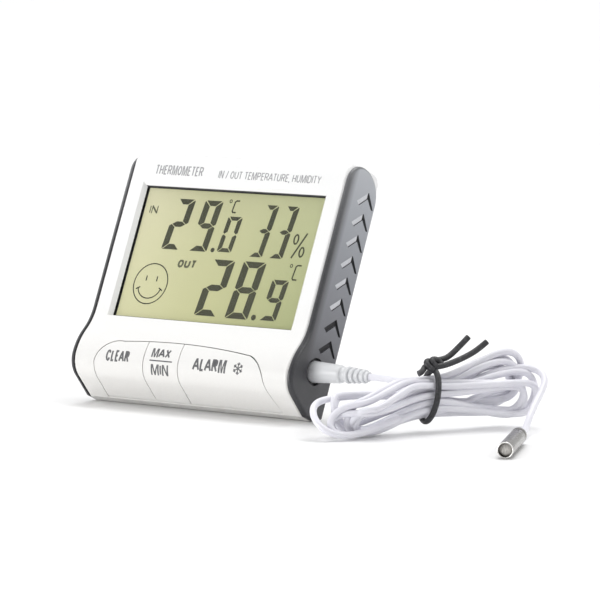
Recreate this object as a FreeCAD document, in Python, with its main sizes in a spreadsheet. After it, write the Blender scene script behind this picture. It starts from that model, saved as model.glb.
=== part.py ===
"""Desktop maximum and minimum thermometer with a remote sensor lead.

The case parts are drawn in the case frame: X across the case, Y from the front face towards the back,
Z up the front face. One placement, CASE, then leans the whole case back on its kickstand. The sensor
lead is drawn straight in the table frame, whose Z = 0 is the table top.
"""
import FreeCAD, Part
import math
import os
import Sketcher
from FreeCAD import Placement, Rotation, Vector

SIZES = {
    # whole case
    "case_half_width": 54.6, "case_height": 99.7, "cover_half_width": 52.9, "wall": 2.0,
    "lean_deg": 23.7, "floor_drop": 6.3, "seam_depth": 12.0,
    # side outline of the case
    "rear_low": 20.9, "rear_high": 20.1, "top_front_radius": 5.0, "top_rear_radius": 4.0,
    "grip_top_radius": 8.0, "grip_rear_radius": 11.8, "grip_edge": 1.5, "belly_depth": 5.0,
    "belly_top": 34.0, "belly_start": 13.5,
    "belly_radius": 9.5, "belly_sweep_deg": 65.0, "underside_flat": 10.2,
    # display
    "display_half_width": 44.1, "display_low": 30.6, "display_high": 85.0, "display_bevel": 1.5,
    "window_thick": 1.0, "window_rim": 1.6, "panel_thick": 2.4, "window_lap_x": 2.2, "window_lap_up": 1.8,
    "panel_lap": 1.4, "window_play": 0.4,
    # circuit board and what it carries
    "board_left": -27.0, "board_right": 46.0, "board_low": 5.0, "board_high": 97.0,
    "board_front": 7.2, "board_thick": 1.2, "switch_size": 6.0, "switch_height": 3.6,
    "switch_level": 11.5, "buzzer_radius": 6.0, "buzzer_height": 4.0,
    # keys
    "keys_left": -42.5, "keys_right": 33.0, "keys_low_right": 45.0, "keys_crown": 20.7,
    "keys_shoulder": 18.2, "keys_corner_wide": 12.5, "keys_corner_high": 9.0, "key_split_left": -17.7,
    "key_split_right": -0.4,
    "key_gap": 0.35, "key_wall": 1.8, "key_back": 3.6, "key_lip_back": 9.1, "keys_cut_depth": 10.0,
    "key_travel": 0.8,
    "keys_knee_in": 3.6, "keys_knee_up": 8.5, "plunger_half": 2.2, "plunger_length": 3.0,
    # battery bay, seen from the front on the left
    "battery_x": -37.5, "battery_radius": 5.2, "battery_length": 44.5, "battery_low": 18.5,
    "bay_half_width": 6.4, "bay_low": 13.0, "bay_high": 68.0, "bay_wall": 0.8, "bay_front": 8.2,
    "door_half_width": 7.6, "door_low": 12.0, "door_high": 71.0, "door_back": 20.9, "door_thick": 1.3,
    "door_gap": 0.3,
    # kickstand
    "stand_half_width": 17.0, "stand_hinge_up": 62.0, "stand_hinge_in": 18.3, "stand_thick": 2.0,
    "stand_open_deg": 35.7, "stand_barrel": 1.7, "stand_pin": 1.0, "stand_gap": 0.5, "pin_play": 0.06,
    "stand_recess_low": 3.0,
    # openings and fasteners
    "jack_up": 17.7, "jack_in": 9.0, "jack_recess": 5.3, "jack_wall_hole": 3.2,
    "keyhole_up": 77.0, "keyhole_radius": 4.0, "keyhole_slot": 2.0, "keyhole_rise": 6.5,
    "screw_x": 47.5, "screw_low": 6.8, "screw_high": 94.0, "screw_head": 2.4, "screw_shank": 1.2,
    "post_radius": 3.0, "low_post_back": 2.4, "well_wall": 1.6, "head_seat": 2.2,
    "vent_count": 5, "vent_pitch": 3.0,
    "vent_half_width": 0.6, "vent_half_height": 5.0, "unit_switch_height": 2.6,
    "vent_x": 33.0, "vent_up": 84.0, "unit_key_x": 33.0, "unit_key_up": 60.0, "unit_key_radius": 3.0,
    # chevron grooves on the side grips
    "chevron_count": 8, "chevron_first": 31.6, "chevron_pitch": 8.575, "chevron_in": 13.6,
    "chevron_front_arm": 6.2, "chevron_rear_arm": 5.0, "chevron_rise": 5.6, "chevron_stroke": 2.65,
    "chevron_rear_stroke": 1.25, "chevron_deep": 0.7,
    # sensor lead
    "cord_radius": 1.3, "plug_radius": 4.2, "plug_stands_out": 13.4, "pin_radius": 1.75, "pin_length": 14.0,
    "boot_length": 12.2, "boot_core": 2.2, "rib_count": 5, "rib_pitch": 2.4, "rib_width": 1.5,
    "rib_radius": 3.5, "rib_step": 0.22, "probe_radius": 3.0, "probe_length": 40.0, "tie_radius": 1.15,
}

doc = FreeCAD.newDocument("thermometer")
sheet = doc.addObject("Spreadsheet::Sheet", "Sizes")
for row, (alias, value) in enumerate(SIZES.items(), start=1):
    sheet.set(f"A{row}", alias)
    sheet.set(f"B{row}", str(value))
    sheet.setAlias(f"B{row}", alias)
doc.recompute()


def size(name):
    """The number in the sheet's cell of that name."""
    return float(getattr(sheet, name))


LEAN = math.radians(size("lean_deg"))


def lean_back(depth, up):
    """World (y, z) of a case point before the case is centred on the origin."""
    y = up * math.sin(LEAN) + depth * math.cos(LEAN)
    return y, up * math.cos(LEAN) - depth * math.sin(LEAN)


def centre_shift():
    """How far the leaning case moves along Y to sit centred over the origin."""
    belly_centre = size("belly_radius") - size("belly_depth")
    front = lean_back(belly_centre, size("belly_start"))[0] - size("belly_radius")
    round_back = size("top_rear_radius")
    back = lean_back(size("rear_high") - round_back, size("case_height") - round_back)[0] + round_back
    return -(front + back) / 2


CASE = Placement(Vector(0, centre_shift(), size("floor_drop")),
                 Rotation(Vector(1, 0, 0), -size("lean_deg")))
NODES = []


def keep(obj, label, placement=None):
    """Names a finished sub-part, puts it in place and lists it for export."""
    obj.Label = label
    if placement is not None:
        obj.Placement = placement
    NODES.append(obj)
    return obj


def bind(obj, **expressions):
    for name, expression in expressions.items():
        obj.setExpression(name, expression)
    return obj


# ---------------------------------------------------------------- sketches and features
def new_body(label):
    body = doc.addObject("PartDesign::Body", label + "_body")
    body.Label = label
    return body


def sketch_on(body, role, name, offset=0.0):
    """A sketch on one of the body's own origin planes, moved along the plane's normal by offset."""
    plane = [f for f in body.Origin.OriginFeatures if f.Role == role][0]
    sketch = body.newObject("Sketcher::SketchObject", name)
    sketch.AttachmentSupport = [(plane, "")]
    sketch.MapMode = "FlatFace"
    sketch.AttachmentOffset = Placement(Vector(0, 0, offset), Rotation())
    return sketch


def draw(sketch, outline):
    """Closes an outline of ("line", a, b) and ("arc", a, middle, b) pieces into the sketch."""
    for piece in outline:
        points = [Vector(p[0], p[1], 0) for p in piece[1:]]
        if piece[0] == "line":
            sketch.addGeometry(Part.LineSegment(points[0], points[1]))
        else:
            sketch.addGeometry(Part.Arc(points[0], points[1], points[2]))
    forward = [(sketch.getPoint(i, 1) - Vector(piece[1][0], piece[1][1], 0)).Length < 1e-6
               for i, piece in enumerate(outline)]
    for i in range(len(outline)):
        following = (i + 1) % len(outline)
        end = 2 if forward[i] else 1
        start = 1 if forward[following] else 2
        sketch.addConstraint(Sketcher.Constraint("Coincident", i, end, following, start))


def polygon(points):
    return [("line", points[i], points[(i + 1) % len(points)]) for i in range(len(points))]


def rectangle(sketch, low, high, names=None):
    """A rectangle whose four sides are bound to sheet expressions when names are given."""
    (x0, y0), (x1, y1) = low, high
    first = len(sketch.Geometry)
    corners = [(x0, y0), (x1, y0), (x1, y1), (x0, y1)]
    for a, b in zip(corners, corners[1:] + corners[:1]):
        sketch.addGeometry(Part.LineSegment(Vector(*a, 0), Vector(*b, 0)))
    for i in range(4):
        sketch.addConstraint(Sketcher.Constraint("Coincident", first + i, 2, first + (i + 1) % 4, 1))
    sketch.addConstraint(Sketcher.Constraint("Horizontal", first))
    sketch.addConstraint(Sketcher.Constraint("Horizontal", first + 2))
    sketch.addConstraint(Sketcher.Constraint("Vertical", first + 1))
    sketch.addConstraint(Sketcher.Constraint("Vertical", first + 3))
    places = [("DistanceX", first, 1, x0), ("DistanceX", first, 2, x1),
              ("DistanceY", first, 1, y0), ("DistanceY", first + 2, 1, y1)]
    for i, (kind, line, end, value) in enumerate(places):
        index = sketch.addConstraint(Sketcher.Constraint(kind, -1, 1, line, end, value))
        if names and names[i]:
            sketch.setExpression(f"Constraints[{index}]", names[i])


def circle(sketch, x, y, radius, expression=None):
    line = sketch.addGeometry(Part.Circle(Vector(x, y, 0), Vector(0, 0, 1), radius))
    index = sketch.addConstraint(Sketcher.Constraint("Radius", line, radius))
    if expression:
        sketch.setExpression(f"Constraints[{index}]", expression)


def pad(body, sketch, length, expression=None, midplane=False, backwards=False):
    feature = body.newObject("PartDesign::Pad", "Pad")
    feature.Profile = sketch
    feature.Length = length
    feature.Midplane = midplane
    feature.Reversed = backwards
    if expression:
        feature.setExpression("Length", expression)
    return feature


def pocket(body, sketch, length, expression=None, midplane=False, backwards=False):
    """Cuts the sketch into the body and stops the build if nothing was cut."""
    doc.recompute()
    before = body.Shape.Volume
    feature = body.newObject("PartDesign::Pocket", "Pocket")
    feature.Profile = sketch
    feature.Length = length
    feature.Midplane = midplane
    feature.Reversed = backwards
    if expression:
        feature.setExpression("Length", expression)
    doc.recompute()
    if before - body.Shape.Volume < 0.01:
        raise RuntimeError(f"{body.Label}: pocket {sketch.Name} cuts nothing")
    return feature


def edges_where(shape, test):
    return ["Edge%d" % (i + 1) for i, edge in enumerate(shape.Edges) if test(edge)]


def dress(body, kind, edges, amount):
    """A fillet or chamfer on the named edges of the body's tip."""
    base = body.Tip
    feature = body.newObject("PartDesign::" + kind, kind)
    feature.Base = (base, edges)
    if kind == "Fillet":
        feature.Radius = amount
    else:
        feature.Size = amount
    doc.recompute()
    if "Invalid" in feature.State:
        raise RuntimeError(f"{body.Label}: {kind} failed")
    return feature


# ---------------------------------------------------------------- side outline of the case
def rear_depth(up):
    """Depth of the sloping rear face at a height up the case."""
    share = up / size("case_height")
    return size("rear_low") + share * (size("rear_high") - size("rear_low"))


def belly_point(degrees):
    """A point of the round under the belly; 180 degrees is its foremost point."""
    angle = math.radians(degrees)
    radius = size("belly_radius")
    centre = radius - size("belly_depth")
    return centre + radius * math.cos(angle), size("belly_start") + radius * math.sin(angle)


def front_outline(top_radius):
    """Front of the case from the top edge down to the underside, as outline pieces."""
    top, belly, start, high = size("case_height"), size("belly_depth"), size("belly_start"), size("belly_top")
    diagonal = 1 - math.sqrt(0.5)
    middle = (-belly / 2, (start + high) / 2)
    rise, run = (high - start) / 2, belly / 2
    bulge = (rise * rise + run * run) / (2 * run)
    half = math.asin(rise / bulge) / 2
    upper = (-bulge * (1 - math.cos(half)), high - bulge * math.sin(half))
    lower = (-belly + bulge * (1 - math.cos(half)), start + bulge * math.sin(half))
    end = 180 + size("belly_sweep_deg")
    return [
        ("arc", (top_radius, top), (top_radius * diagonal, top - top_radius * diagonal), (0, top - top_radius)),
        ("line", (0, top - top_radius), (0, high)),
        ("arc", (0, high), upper, middle),
        ("arc", middle, lower, (-belly, start)),
        ("arc", (-belly, start), belly_point(180 + size("belly_sweep_deg") / 2), belly_point(end)),
        ("line", belly_point(end), (size("underside_flat"), 0)),
    ]


def rear_outline(top_radius):
    """From the underside, round the foot land and up the rear face to the top edge."""
    top = size("case_height")
    land_start = size("floor_drop") / math.sin(LEAN)
    low = size("rear_low")
    land_end = (low * math.sin(LEAN) - size("floor_drop")) / math.cos(LEAN)
    high = rear_depth(top - top_radius)
    diagonal = 1 - math.sqrt(0.5)
    return [
        ("line", (land_start, 0), (low, land_end)),
        ("line", (low, land_end), (high, top - top_radius)),
        ("arc", (high, top - top_radius), (high - top_radius * diagonal, top - top_radius * diagonal),
         (high - top_radius, top)),
    ], land_start


def cover_outline_front():
    seam, top = size("seam_depth"), size("case_height")
    return front_outline(size("top_front_radius")) + [
        ("line", (size("underside_flat"), 0), (seam, 0)),
        ("line", (seam, 0), (seam, top)),
        ("line", (seam, top), (size("top_front_radius"), top)),
    ]


def cover_outline_rear():
    seam, top = size("seam_depth"), size("case_height")
    outline, land = rear_outline(size("top_rear_radius"))
    return [("line", (seam, 0), (land, 0))] + outline + [
        ("line", outline[-1][3], (seam, top)),
        ("line", (seam, top), (seam, 0)),
    ]


def grip_outline():
    radius, top = size("grip_top_radius"), size("case_height")
    outline, land = rear_outline(size("grip_rear_radius"))
    return front_outline(radius) + [("line", (size("underside_flat"), 0), (land, 0))] + outline + [
        ("line", outline[-1][3], (radius, top)),
    ]


# ---------------------------------------------------------------- covers
def keys_outline(low, gap, left=None, right=None):
    """Front view of the key field, or of one key between two splits, shrunk by gap."""
    x_left, x_right = size("keys_left") + gap, size("keys_right") - gap
    shoulder, crown = size("keys_shoulder") - gap, size("keys_crown") - gap
    wide, tall, foot = size("keys_corner_wide"), size("keys_corner_high"), size("keys_low_right") - gap

    def crown_at(x):
        span = (x_right - x_left) / 2
        middle = (x_right + x_left) / 2
        radius = (span * span + (crown - shoulder) ** 2) / (2 * (crown - shoulder))
        return crown - radius + math.sqrt(radius * radius - (x - middle) ** 2)

    start = x_left + wide if left is None else left + gap / 2
    end = x_right if right is None else right - gap / 2
    outline = [("arc", (start, crown_at(start)), ((start + end) / 2, crown_at((start + end) / 2)),
                (end, crown_at(end)))]
    if right is None:
        knee = (foot - size("keys_knee_in"), size("keys_knee_up"))
        outline += [("arc", (end, crown_at(end)), (end + 5.0, shoulder - 3.2), knee), ("line", knee, (foot, low))]
        last = (foot, low)
    else:
        outline += [("line", (end, crown_at(end)), (end, low))]
        last = (end, low)
    if left is None:
        top = crown_at(start)
        bend = 1 - math.sqrt(0.5)
        outline += [("line", last, (x_left, low)), ("line", (x_left, low), (x_left, top - tall)),
                    ("arc", (x_left, top - tall), (x_left + wide * bend, top - tall * bend), (start, top))]
    else:
        outline += [("line", last, (start, low)), ("line", (start, low), (start, crown_at(start)))]
    return outline


def front_cover():
    body = new_body("front_cover")
    side = sketch_on(body, "YZ_Plane", "cover_side")
    draw(side, cover_outline_front())
    pad(body, side, 2 * size("cover_half_width"), "2 * Sizes.cover_half_width", midplane=True)
    doc.recompute()
    half = size("cover_half_width")
    rim = edges_where(body.Shape, lambda e: abs(abs(e.CenterOfMass.x) - half) < 0.01
                      and e.BoundBox.YMax < size("underside_flat") + 0.1)
    dress(body, "Fillet", rim, 1.6)
    wall, seam, high = size("wall"), size("seam_depth"), size("case_height")
    hollow = sketch_on(body, "YZ_Plane", "cover_hollow")
    draw(hollow, polygon([(seam + 1, high - wall), (wall, high - wall), (wall, 30.0), (-2.6, 20.5), (-2.6, 11.5),
                          (3.5, 6.0), (9.0, wall + 0.2), (seam + 1, wall + 0.2)]))
    pocket(body, hollow, 2 * (size("cover_half_width") - wall), "2 * (Sizes.cover_half_width - Sizes.wall)",
           midplane=True)
    window = sketch_on(body, "XZ_Plane", "display_opening", -8)
    width = size("display_half_width")
    rectangle(window, (-width, size("display_low")), (width, size("display_high")),
              [None, "Sizes.display_half_width", "Sizes.display_low", "Sizes.display_high"])
    pocket(body, window, 16, backwards=True)
    seat = sketch_on(body, "XZ_Plane", "window_seat", -size("window_rim"))
    lap_x = size("window_lap_x") + size("window_play")
    lap_up = size("window_lap_up") + size("window_play")
    rectangle(seat, (-width - lap_x, size("display_low") - lap_up), (width + lap_x, size("display_high") + lap_up))
    pocket(body, seat, size("wall"))
    bevel = edges_where(body.Shape, lambda e: e.BoundBox.YMax < 0.01 and e.BoundBox.YMin > -0.01
                        and abs(e.CenterOfMass.x) < width + 0.1
                        and size("display_low") - 0.1 < e.CenterOfMass.z < size("display_high") + 0.1)
    dress(body, "Chamfer", bevel, size("display_bevel"))
    keys = sketch_on(body, "XZ_Plane", "keys_opening", -size("keys_cut_depth"))
    draw(keys, keys_outline(-2.0, 0.0))
    pocket(body, keys, 20, backwards=True)
    for name, x in (("left", -1), ("right", 1)):
        for level in (size("screw_low"), size("screw_high")):
            post = sketch_on(body, "XZ_Plane", "post", -seam)
            circle(post, x * size("screw_x"), level, size("post_radius"), "Sizes.post_radius")
            circle(post, x * size("screw_x"), level, size("screw_shank") + 0.1, "Sizes.screw_shank + 0.1")
            setback = size("low_post_back") if level == size("screw_low") else 0.0
            pad(body, post, seam - wall + 0.4 - setback)
    jack_bore(body)
    keep(body, "front_cover", CASE)


def jack_bore(body):
    """The hole that the sensor plug passes through, in the right-hand side wall."""
    bore = sketch_on(body, "YZ_Plane", "jack_bore", size("cover_half_width") + 1)
    circle(bore, size("jack_in"), size("jack_up"), size("jack_wall_hole"), "Sizes.jack_wall_hole")
    pocket(body, bore, size("wall") + 1.5)


def rear_cover():
    body = new_body("rear_cover")
    side = sketch_on(body, "YZ_Plane", "rear_side")
    draw(side, cover_outline_rear())
    pad(body, side, 2 * size("cover_half_width"), "2 * Sizes.cover_half_width", midplane=True)
    wall, seam, high = size("wall"), size("seam_depth"), size("case_height")
    inner = rear_depth(50) - wall - 0.4
    hollow = sketch_on(body, "YZ_Plane", "rear_hollow")
    draw(hollow, polygon([(seam - 1, wall + 1), (inner, wall + 1), (inner, high - wall - 1.4),
                          (seam - 1, high - wall)]))
    pocket(body, hollow, 2 * (size("cover_half_width") - wall), "2 * (Sizes.cover_half_width - Sizes.wall)",
           midplane=True)
    battery_bay(body)
    stand_recess(body)
    for x in (-size("screw_x"), size("screw_x")):
        for level in (size("screw_low"), size("screw_high")):
            well = sketch_on(body, "XZ_Plane", "screw_well", -seam)
            circle(well, x, level, size("screw_head") + size("well_wall"))
            pad(body, well, inner + 0.5 - seam, backwards=True)
            well = sketch_on(body, "XZ_Plane", "screw_hole", -seam + 1)
            circle(well, x, level, size("screw_shank") + 0.15)
            pocket(body, well, 12)
            head = sketch_on(body, "XZ_Plane", "screw_recess", -seam - size("head_seat"))
            circle(head, x, level, size("screw_head") + 0.3)
            pocket(body, head, 12)
    keyhole(body)
    vents(body)
    unit = sketch_on(body, "XZ_Plane", "unit_key_hole", -seam)
    circle(unit, size("unit_key_x"), size("unit_key_up"), size("unit_key_radius") + 0.3)
    pocket(body, unit, 12)
    jack_bore(body)
    keep(body, "rear_cover", CASE)


def battery_bay(body):
    """A box for one cell, open at the rear, with a rebate for its door."""
    x, half, wall = size("battery_x"), size("bay_half_width"), size("bay_wall")
    low, high = size("bay_low"), size("bay_high")
    box = sketch_on(body, "XZ_Plane", "bay_walls", -size("bay_front"))
    rectangle(box, (x - half - wall, low - wall), (x + half + wall, high + wall))
    pad(body, box, rear_depth(40) - size("bay_front") - 0.8, backwards=True)
    hollow = sketch_on(body, "XZ_Plane", "bay_hollow", -size("bay_front") - wall)
    rectangle(hollow, (x - half, low), (x + half, high),
              [None, None, "Sizes.bay_low", "Sizes.bay_high"])
    pocket(body, hollow, 20)
    rebate = sketch_on(body, "XZ_Plane", "door_rebate",
                       -(size("door_back") - size("door_thick") - size("door_gap")))
    gap, door = size("door_gap"), size("door_half_width")
    rectangle(rebate, (x - door - gap, size("door_low") - gap), (x + door + gap, size("door_high") + gap))
    pocket(body, rebate, 8)


def stand_recess(body):
    """The shallow well that the kickstand folds into, with ears for its hinge pins."""
    half, gap = size("stand_half_width"), size("stand_gap")
    floor = size("stand_hinge_in") - size("stand_barrel") - gap
    boss = sketch_on(body, "XZ_Plane", "hinge_block", -floor + 1.6)
    rectangle(boss, (-half - 5, size("stand_recess_low") - 0.6), (half + 5, size("stand_hinge_up") + 5))
    pad(body, boss, rear_depth(62) - floor + 1.2, backwards=True)
    well = sketch_on(body, "XZ_Plane", "stand_well", -floor)
    rectangle(well, (-half - gap, size("stand_recess_low")),
              (half + gap, size("stand_hinge_up") + size("stand_barrel") + gap))
    pocket(body, well, 8)
    pins = sketch_on(body, "YZ_Plane", "pin_holes")
    circle(pins, size("stand_hinge_in"), size("stand_hinge_up"), size("stand_pin") + size("pin_play"),
           "Sizes.stand_pin + Sizes.pin_play")
    pocket(body, pins, 2 * (half + 3.6), midplane=True)


def keyhole(body):
    """A hanging hole: the screw head goes in at the round end and the shank slides up the slot."""
    level, slot, rise = size("keyhole_up"), size("keyhole_slot"), size("keyhole_rise")
    hole = sketch_on(body, "XZ_Plane", "keyhole_round", -size("seam_depth"))
    circle(hole, 0, level, size("keyhole_radius"), "Sizes.keyhole_radius")
    pocket(body, hole, 12)
    track = sketch_on(body, "XZ_Plane", "keyhole_slot", -size("seam_depth"))
    top = level + rise
    draw(track, [("line", (-slot, level), (slot, level)), ("line", (slot, level), (slot, top)),
                 ("arc", (slot, top), (0, top + slot), (-slot, top)), ("line", (-slot, top), (-slot, level))])
    pocket(body, track, 12)


def vents(body):
    """A row of slots that lets room air reach the humidity sensor."""
    half, tall, count = size("vent_half_width"), size("vent_half_height"), int(size("vent_count"))
    for i in range(count):
        slot = sketch_on(body, "XZ_Plane", "vent", -size("seam_depth"))
        x = size("vent_x") + (i - (count - 1) / 2) * size("vent_pitch")
        rectangle(slot, (x - half, size("vent_up") - tall), (x + half, size("vent_up") + tall))
        pocket(body, slot, 12)


# ---------------------------------------------------------------- side grips
def chevron(apex):
    """One recessed arrow, drawn in the (depth, height) plane of a side face."""
    centre, front, rear = size("chevron_in"), size("chevron_front_arm"), size("chevron_rear_arm")
    rise, stroke, thin = size("chevron_rise"), size("chevron_stroke"), size("chevron_rear_stroke")
    return polygon([(centre, apex), (centre + rear, apex - rise), (centre + rear - thin, apex - rise - 0.2),
                    (centre + 0.1, apex - stroke), (centre - front + 2.0, apex - rise - 1.0),
                    (centre - front, apex - rise + 0.2)])


def side_grip(label, side):
    body = new_body(label)
    inner = size("cover_half_width")
    base = sketch_on(body, "YZ_Plane", "grip_side", side * inner)
    draw(base, grip_outline())
    pad(body, base, size("case_half_width") - inner, "Sizes.case_half_width - Sizes.cover_half_width",
        backwards=side < 0)
    doc.recompute()
    outer = side * size("case_half_width")
    front = edges_where(body.Shape, lambda e: abs(e.BoundBox.XMin - outer) < 0.01
                        and abs(e.BoundBox.XMax - outer) < 0.01)
    dress(body, "Fillet", front, size("grip_edge"))
    for i in range(int(size("chevron_count"))):
        groove = sketch_on(body, "YZ_Plane", "chevron", outer)
        draw(groove, chevron(size("chevron_first") + i * size("chevron_pitch")))
        pocket(body, groove, size("chevron_deep"), "Sizes.chevron_deep", backwards=side < 0)
    if side > 0:
        recess = sketch_on(body, "YZ_Plane", "jack_recess", outer + 0.5)
        circle(recess, size("jack_in"), size("jack_up"), size("jack_recess"), "Sizes.jack_recess")
        pocket(body, recess, 5)
    keep(body, label, CASE)


# ---------------------------------------------------------------- keys
def key(label, left, right):
    """One front key: its front view, trimmed outside to the belly and hollowed from behind."""
    body = new_body(label)
    gap = size("key_gap")
    face = sketch_on(body, "XZ_Plane", "key_face", -size("key_lip_back"))
    draw(face, keys_outline(-1.0, gap, left, right))
    pad(body, face, 20)
    outside = sketch_on(body, "YZ_Plane", "key_outside")
    belly = front_outline(size("top_front_radius"))[2:]
    flat = size("underside_flat")
    above, below, ahead = size("belly_top") + 11, -6, -20
    draw(outside, [("line", (0, above), (0, size("belly_top")))] + belly + [
        ("line", (flat, 0), (flat, below)), ("line", (flat, below), (ahead, below)),
        ("line", (ahead, below), (ahead, above)), ("line", (ahead, above), (0, above))])
    pocket(body, outside, 220, midplane=True)
    wall = size("key_wall")
    inside = sketch_on(body, "YZ_Plane", "key_inside")
    back, lip = size("key_back"), size("key_lip_back") + 1
    draw(inside, polygon([(lip, 24), (back, 24), (back, 18.2), (-belly_room(wall), 18.2),
                          (-belly_room(wall), 12.0), (1.2, 6.4), (7.0, 3.4), (lip, 2.0)]))
    pocket(body, inside, 220, midplane=True)
    plunger = sketch_on(body, "XZ_Plane", "plunger", size("plunger_length"))
    middle = plunger_x(left, right)
    level, square = size("switch_level"), size("plunger_half")
    rectangle(plunger, (middle - square, level - square), (middle + square, level + square))
    pad(body, plunger, size("plunger_length") + switch_top() - size("key_travel") - 0.1, backwards=True)
    keep(body, label, CASE)


def belly_room(wall):
    return size("belly_depth") - wall


def switch_top():
    """Depth of the face of the key switches that the plungers press."""
    return size("board_front") - size("switch_height")


def plunger_x(left, right):
    """Where the key meets its switch: near the middle, and always over the circuit board."""
    low = size("keys_left") if left is None else left
    high = size("keys_right") if right is None else right
    return max((low + high) / 2, size("board_left") + 4.5)


# ---------------------------------------------------------------- simple shapes
def block(label, low, high, expressions=None):
    """A Part::Box between two corners of the case frame; its sizes may be bound to the sheet."""
    box = doc.addObject("Part::Box", label + "_box")
    box.Length, box.Width, box.Height = (high[i] - low[i] for i in range(3))
    bind(box, **(expressions or {}))
    box.Placement = Placement(Vector(*low), Rotation())
    return box


def rod(label, centre, direction, radius, length, expression=None):
    """A Part::Cylinder from a point along a direction."""
    cylinder = doc.addObject("Part::Cylinder", label + "_rod")
    cylinder.Radius = radius
    cylinder.Height = length
    if expression:
        cylinder.setExpression("Radius", expression)
    cylinder.Placement = Placement(Vector(*centre), Rotation(Vector(0, 0, 1), Vector(*direction)))
    return cylinder


def group(label, shapes, placement=None):
    """Separate solids that share one node."""
    compound = doc.addObject("Part::Compound", label + "_group")
    compound.Links = shapes
    return keep(compound, label, placement or CASE)


def fuse(label, shapes):
    joined = doc.addObject("Part::MultiFuse", label + "_fuse")
    joined.Shapes = shapes
    return joined


def cut(label, base, tool):
    result = doc.addObject("Part::Cut", label + "_cut")
    result.Base = base
    result.Tool = tool
    return result


def display():
    width, low, high = size("display_half_width"), size("display_low"), size("display_high")
    front = size("window_rim")
    lap_x, lap_up, lap = size("window_lap_x"), size("window_lap_up"), size("panel_lap")
    pane = block("lcd_window", (-width - lap_x, front, low - lap_up),
                 (width + lap_x, front + size("window_thick"), high + lap_up),
                 {"Width": "Sizes.window_thick", "Length": "2 * (Sizes.display_half_width + Sizes.window_lap_x)"})
    group("lcd_window", [pane])
    front += size("window_thick") + 0.1
    cell = block("lcd_panel", (-width - lap, front, low - lap), (width + lap, front + size("panel_thick"), high + lap),
                 {"Width": "Sizes.panel_thick", "Length": "2 * (Sizes.display_half_width + Sizes.panel_lap)"})
    group("lcd_panel", [cell])
    back = front + size("panel_thick")
    rails = [block("rail", (-25, back - 1.6, high + 1.6), (45, size("board_front") - 0.05, high + 3.4)),
             block("rail", (-25, back - 1.6, low - 3.4), (45, size("board_front") - 0.05, low - 1.6))]
    group("lcd_rails", rails)
    strips = [block("strip", (-24, back, high - 2.0), (42, size("board_front"), high + 1.0)),
              block("strip", (-24, back, low - 1.0), (42, size("board_front"), low + 2.0))]
    group("zebra_strips", strips)


def electronics():
    left, right = size("board_left"), size("board_right")
    low, high = size("board_low"), size("board_high")
    front, thick = size("board_front"), size("board_thick")
    board = block("board", (left, front, low), (right, front + thick, high),
                  {"Length": "Sizes.board_right - Sizes.board_left", "Width": "Sizes.board_thick",
                   "Height": "Sizes.board_high - Sizes.board_low"})
    notches = [rod("notch", (size("screw_x"), front - 2, level), (0, 1, 0), 3.6, 6)
               for level in (size("screw_low"), size("screw_high"))]
    jack_slot = block("slot", (36, front - 2, size("jack_up") - 5), (50, front + 6, size("jack_up") + 5))
    group("main_board", [cut("main_board", board, fuse("notches", notches + [jack_slot]))])
    back = front + thick
    blob = rod("blob", (5, back, 70), (0, 1, 0), 5.5, 1.4)
    group("chip_blob", [blob])
    level, square = size("switch_level"), size("switch_size")
    splits = [(None, size("key_split_left")), (size("key_split_left"), size("key_split_right")),
              (size("key_split_right"), None)]
    switches = [block("switch", (plunger_x(*s) - square / 2, switch_top(), level - square / 2),
                      (plunger_x(*s) + square / 2, front, level + square / 2)) for s in splits]
    x, level, half = size("unit_key_x"), size("unit_key_up"), square / 2
    switches += [block("switch", (x - half, back, level - half),
                       (x + half, back + size("unit_switch_height"), level + half))]
    group("tact_switches", switches)
    group("buzzer", [rod("buzzer", (31, back, 40), (0, 1, 0), size("buzzer_radius"), size("buzzer_height"),
                         "Sizes.buzzer_radius")])
    group("humidity_sensor", [block("humidity", (27, back, 80), (38, back + 3.0, 88))])
    group("room_thermistor", [rod("bead", (22, back + 1.5, 88), (1, 0, 0), 1.2, 4.0)])
    socket = block("socket", (36.4, size("jack_in") - 2.5, size("jack_up") - 3), (49.3, size("jack_in") + 2.5,
                                                                                  size("jack_up") + 3))
    nose = rod("nose", (49.3, size("jack_in"), size("jack_up")), (1, 0, 0), 3.0, 2.0)
    bore = rod("bore", (37.2, size("jack_in"), size("jack_up")), (1, 0, 0), size("pin_radius") + 0.08, 16)
    group("jack_socket", [cut("jack_socket", fuse("socket", [socket, nose]), bore)])


def battery():
    x, low = size("battery_x"), size("battery_low")
    middle = size("bay_front") + size("bay_wall") + size("battery_radius") + 0.05
    cell = rod("cell", (x, middle, low), (0, 0, 1), size("battery_radius"), size("battery_length"),
               "Sizes.battery_radius")
    tip = rod("tip", (x, middle, low + size("battery_length")), (0, 0, 1), 1.9, 0.9)
    group("battery_cell", [fuse("battery", [cell, tip])])
    coil = [rod("spring", (x, middle, size("bay_low") + 1.0 + i * 1.0), (0, 0, 1), 4.2 - 0.45 * i, 0.7)
            for i in range(4)]
    stem = rod("stem", (x, middle, size("bay_low") + 0.3), (0, 0, 1), 1.2, low - size("bay_low") - 0.3)
    plate = block("plate", (x - 5.5, middle - 4.2, size("bay_low")), (x + 5.5, middle + 4.2,
                                                                      size("bay_low") + 0.4))
    group("battery_spring", [fuse("spring", coil + [stem, plate])])
    top = size("bay_high")
    group("battery_plate", [block("contact", (x - 5.5, middle - 4.2, top - 0.5), (x + 5.5, middle + 4.2, top))])
    ends = [block("wire", (x + 7.6, 8.5, level), (size("board_left") + 3, 9.4, level + 0.9))
            for level in (16.0, 64.0)]
    group("battery_wires", ends)


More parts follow.
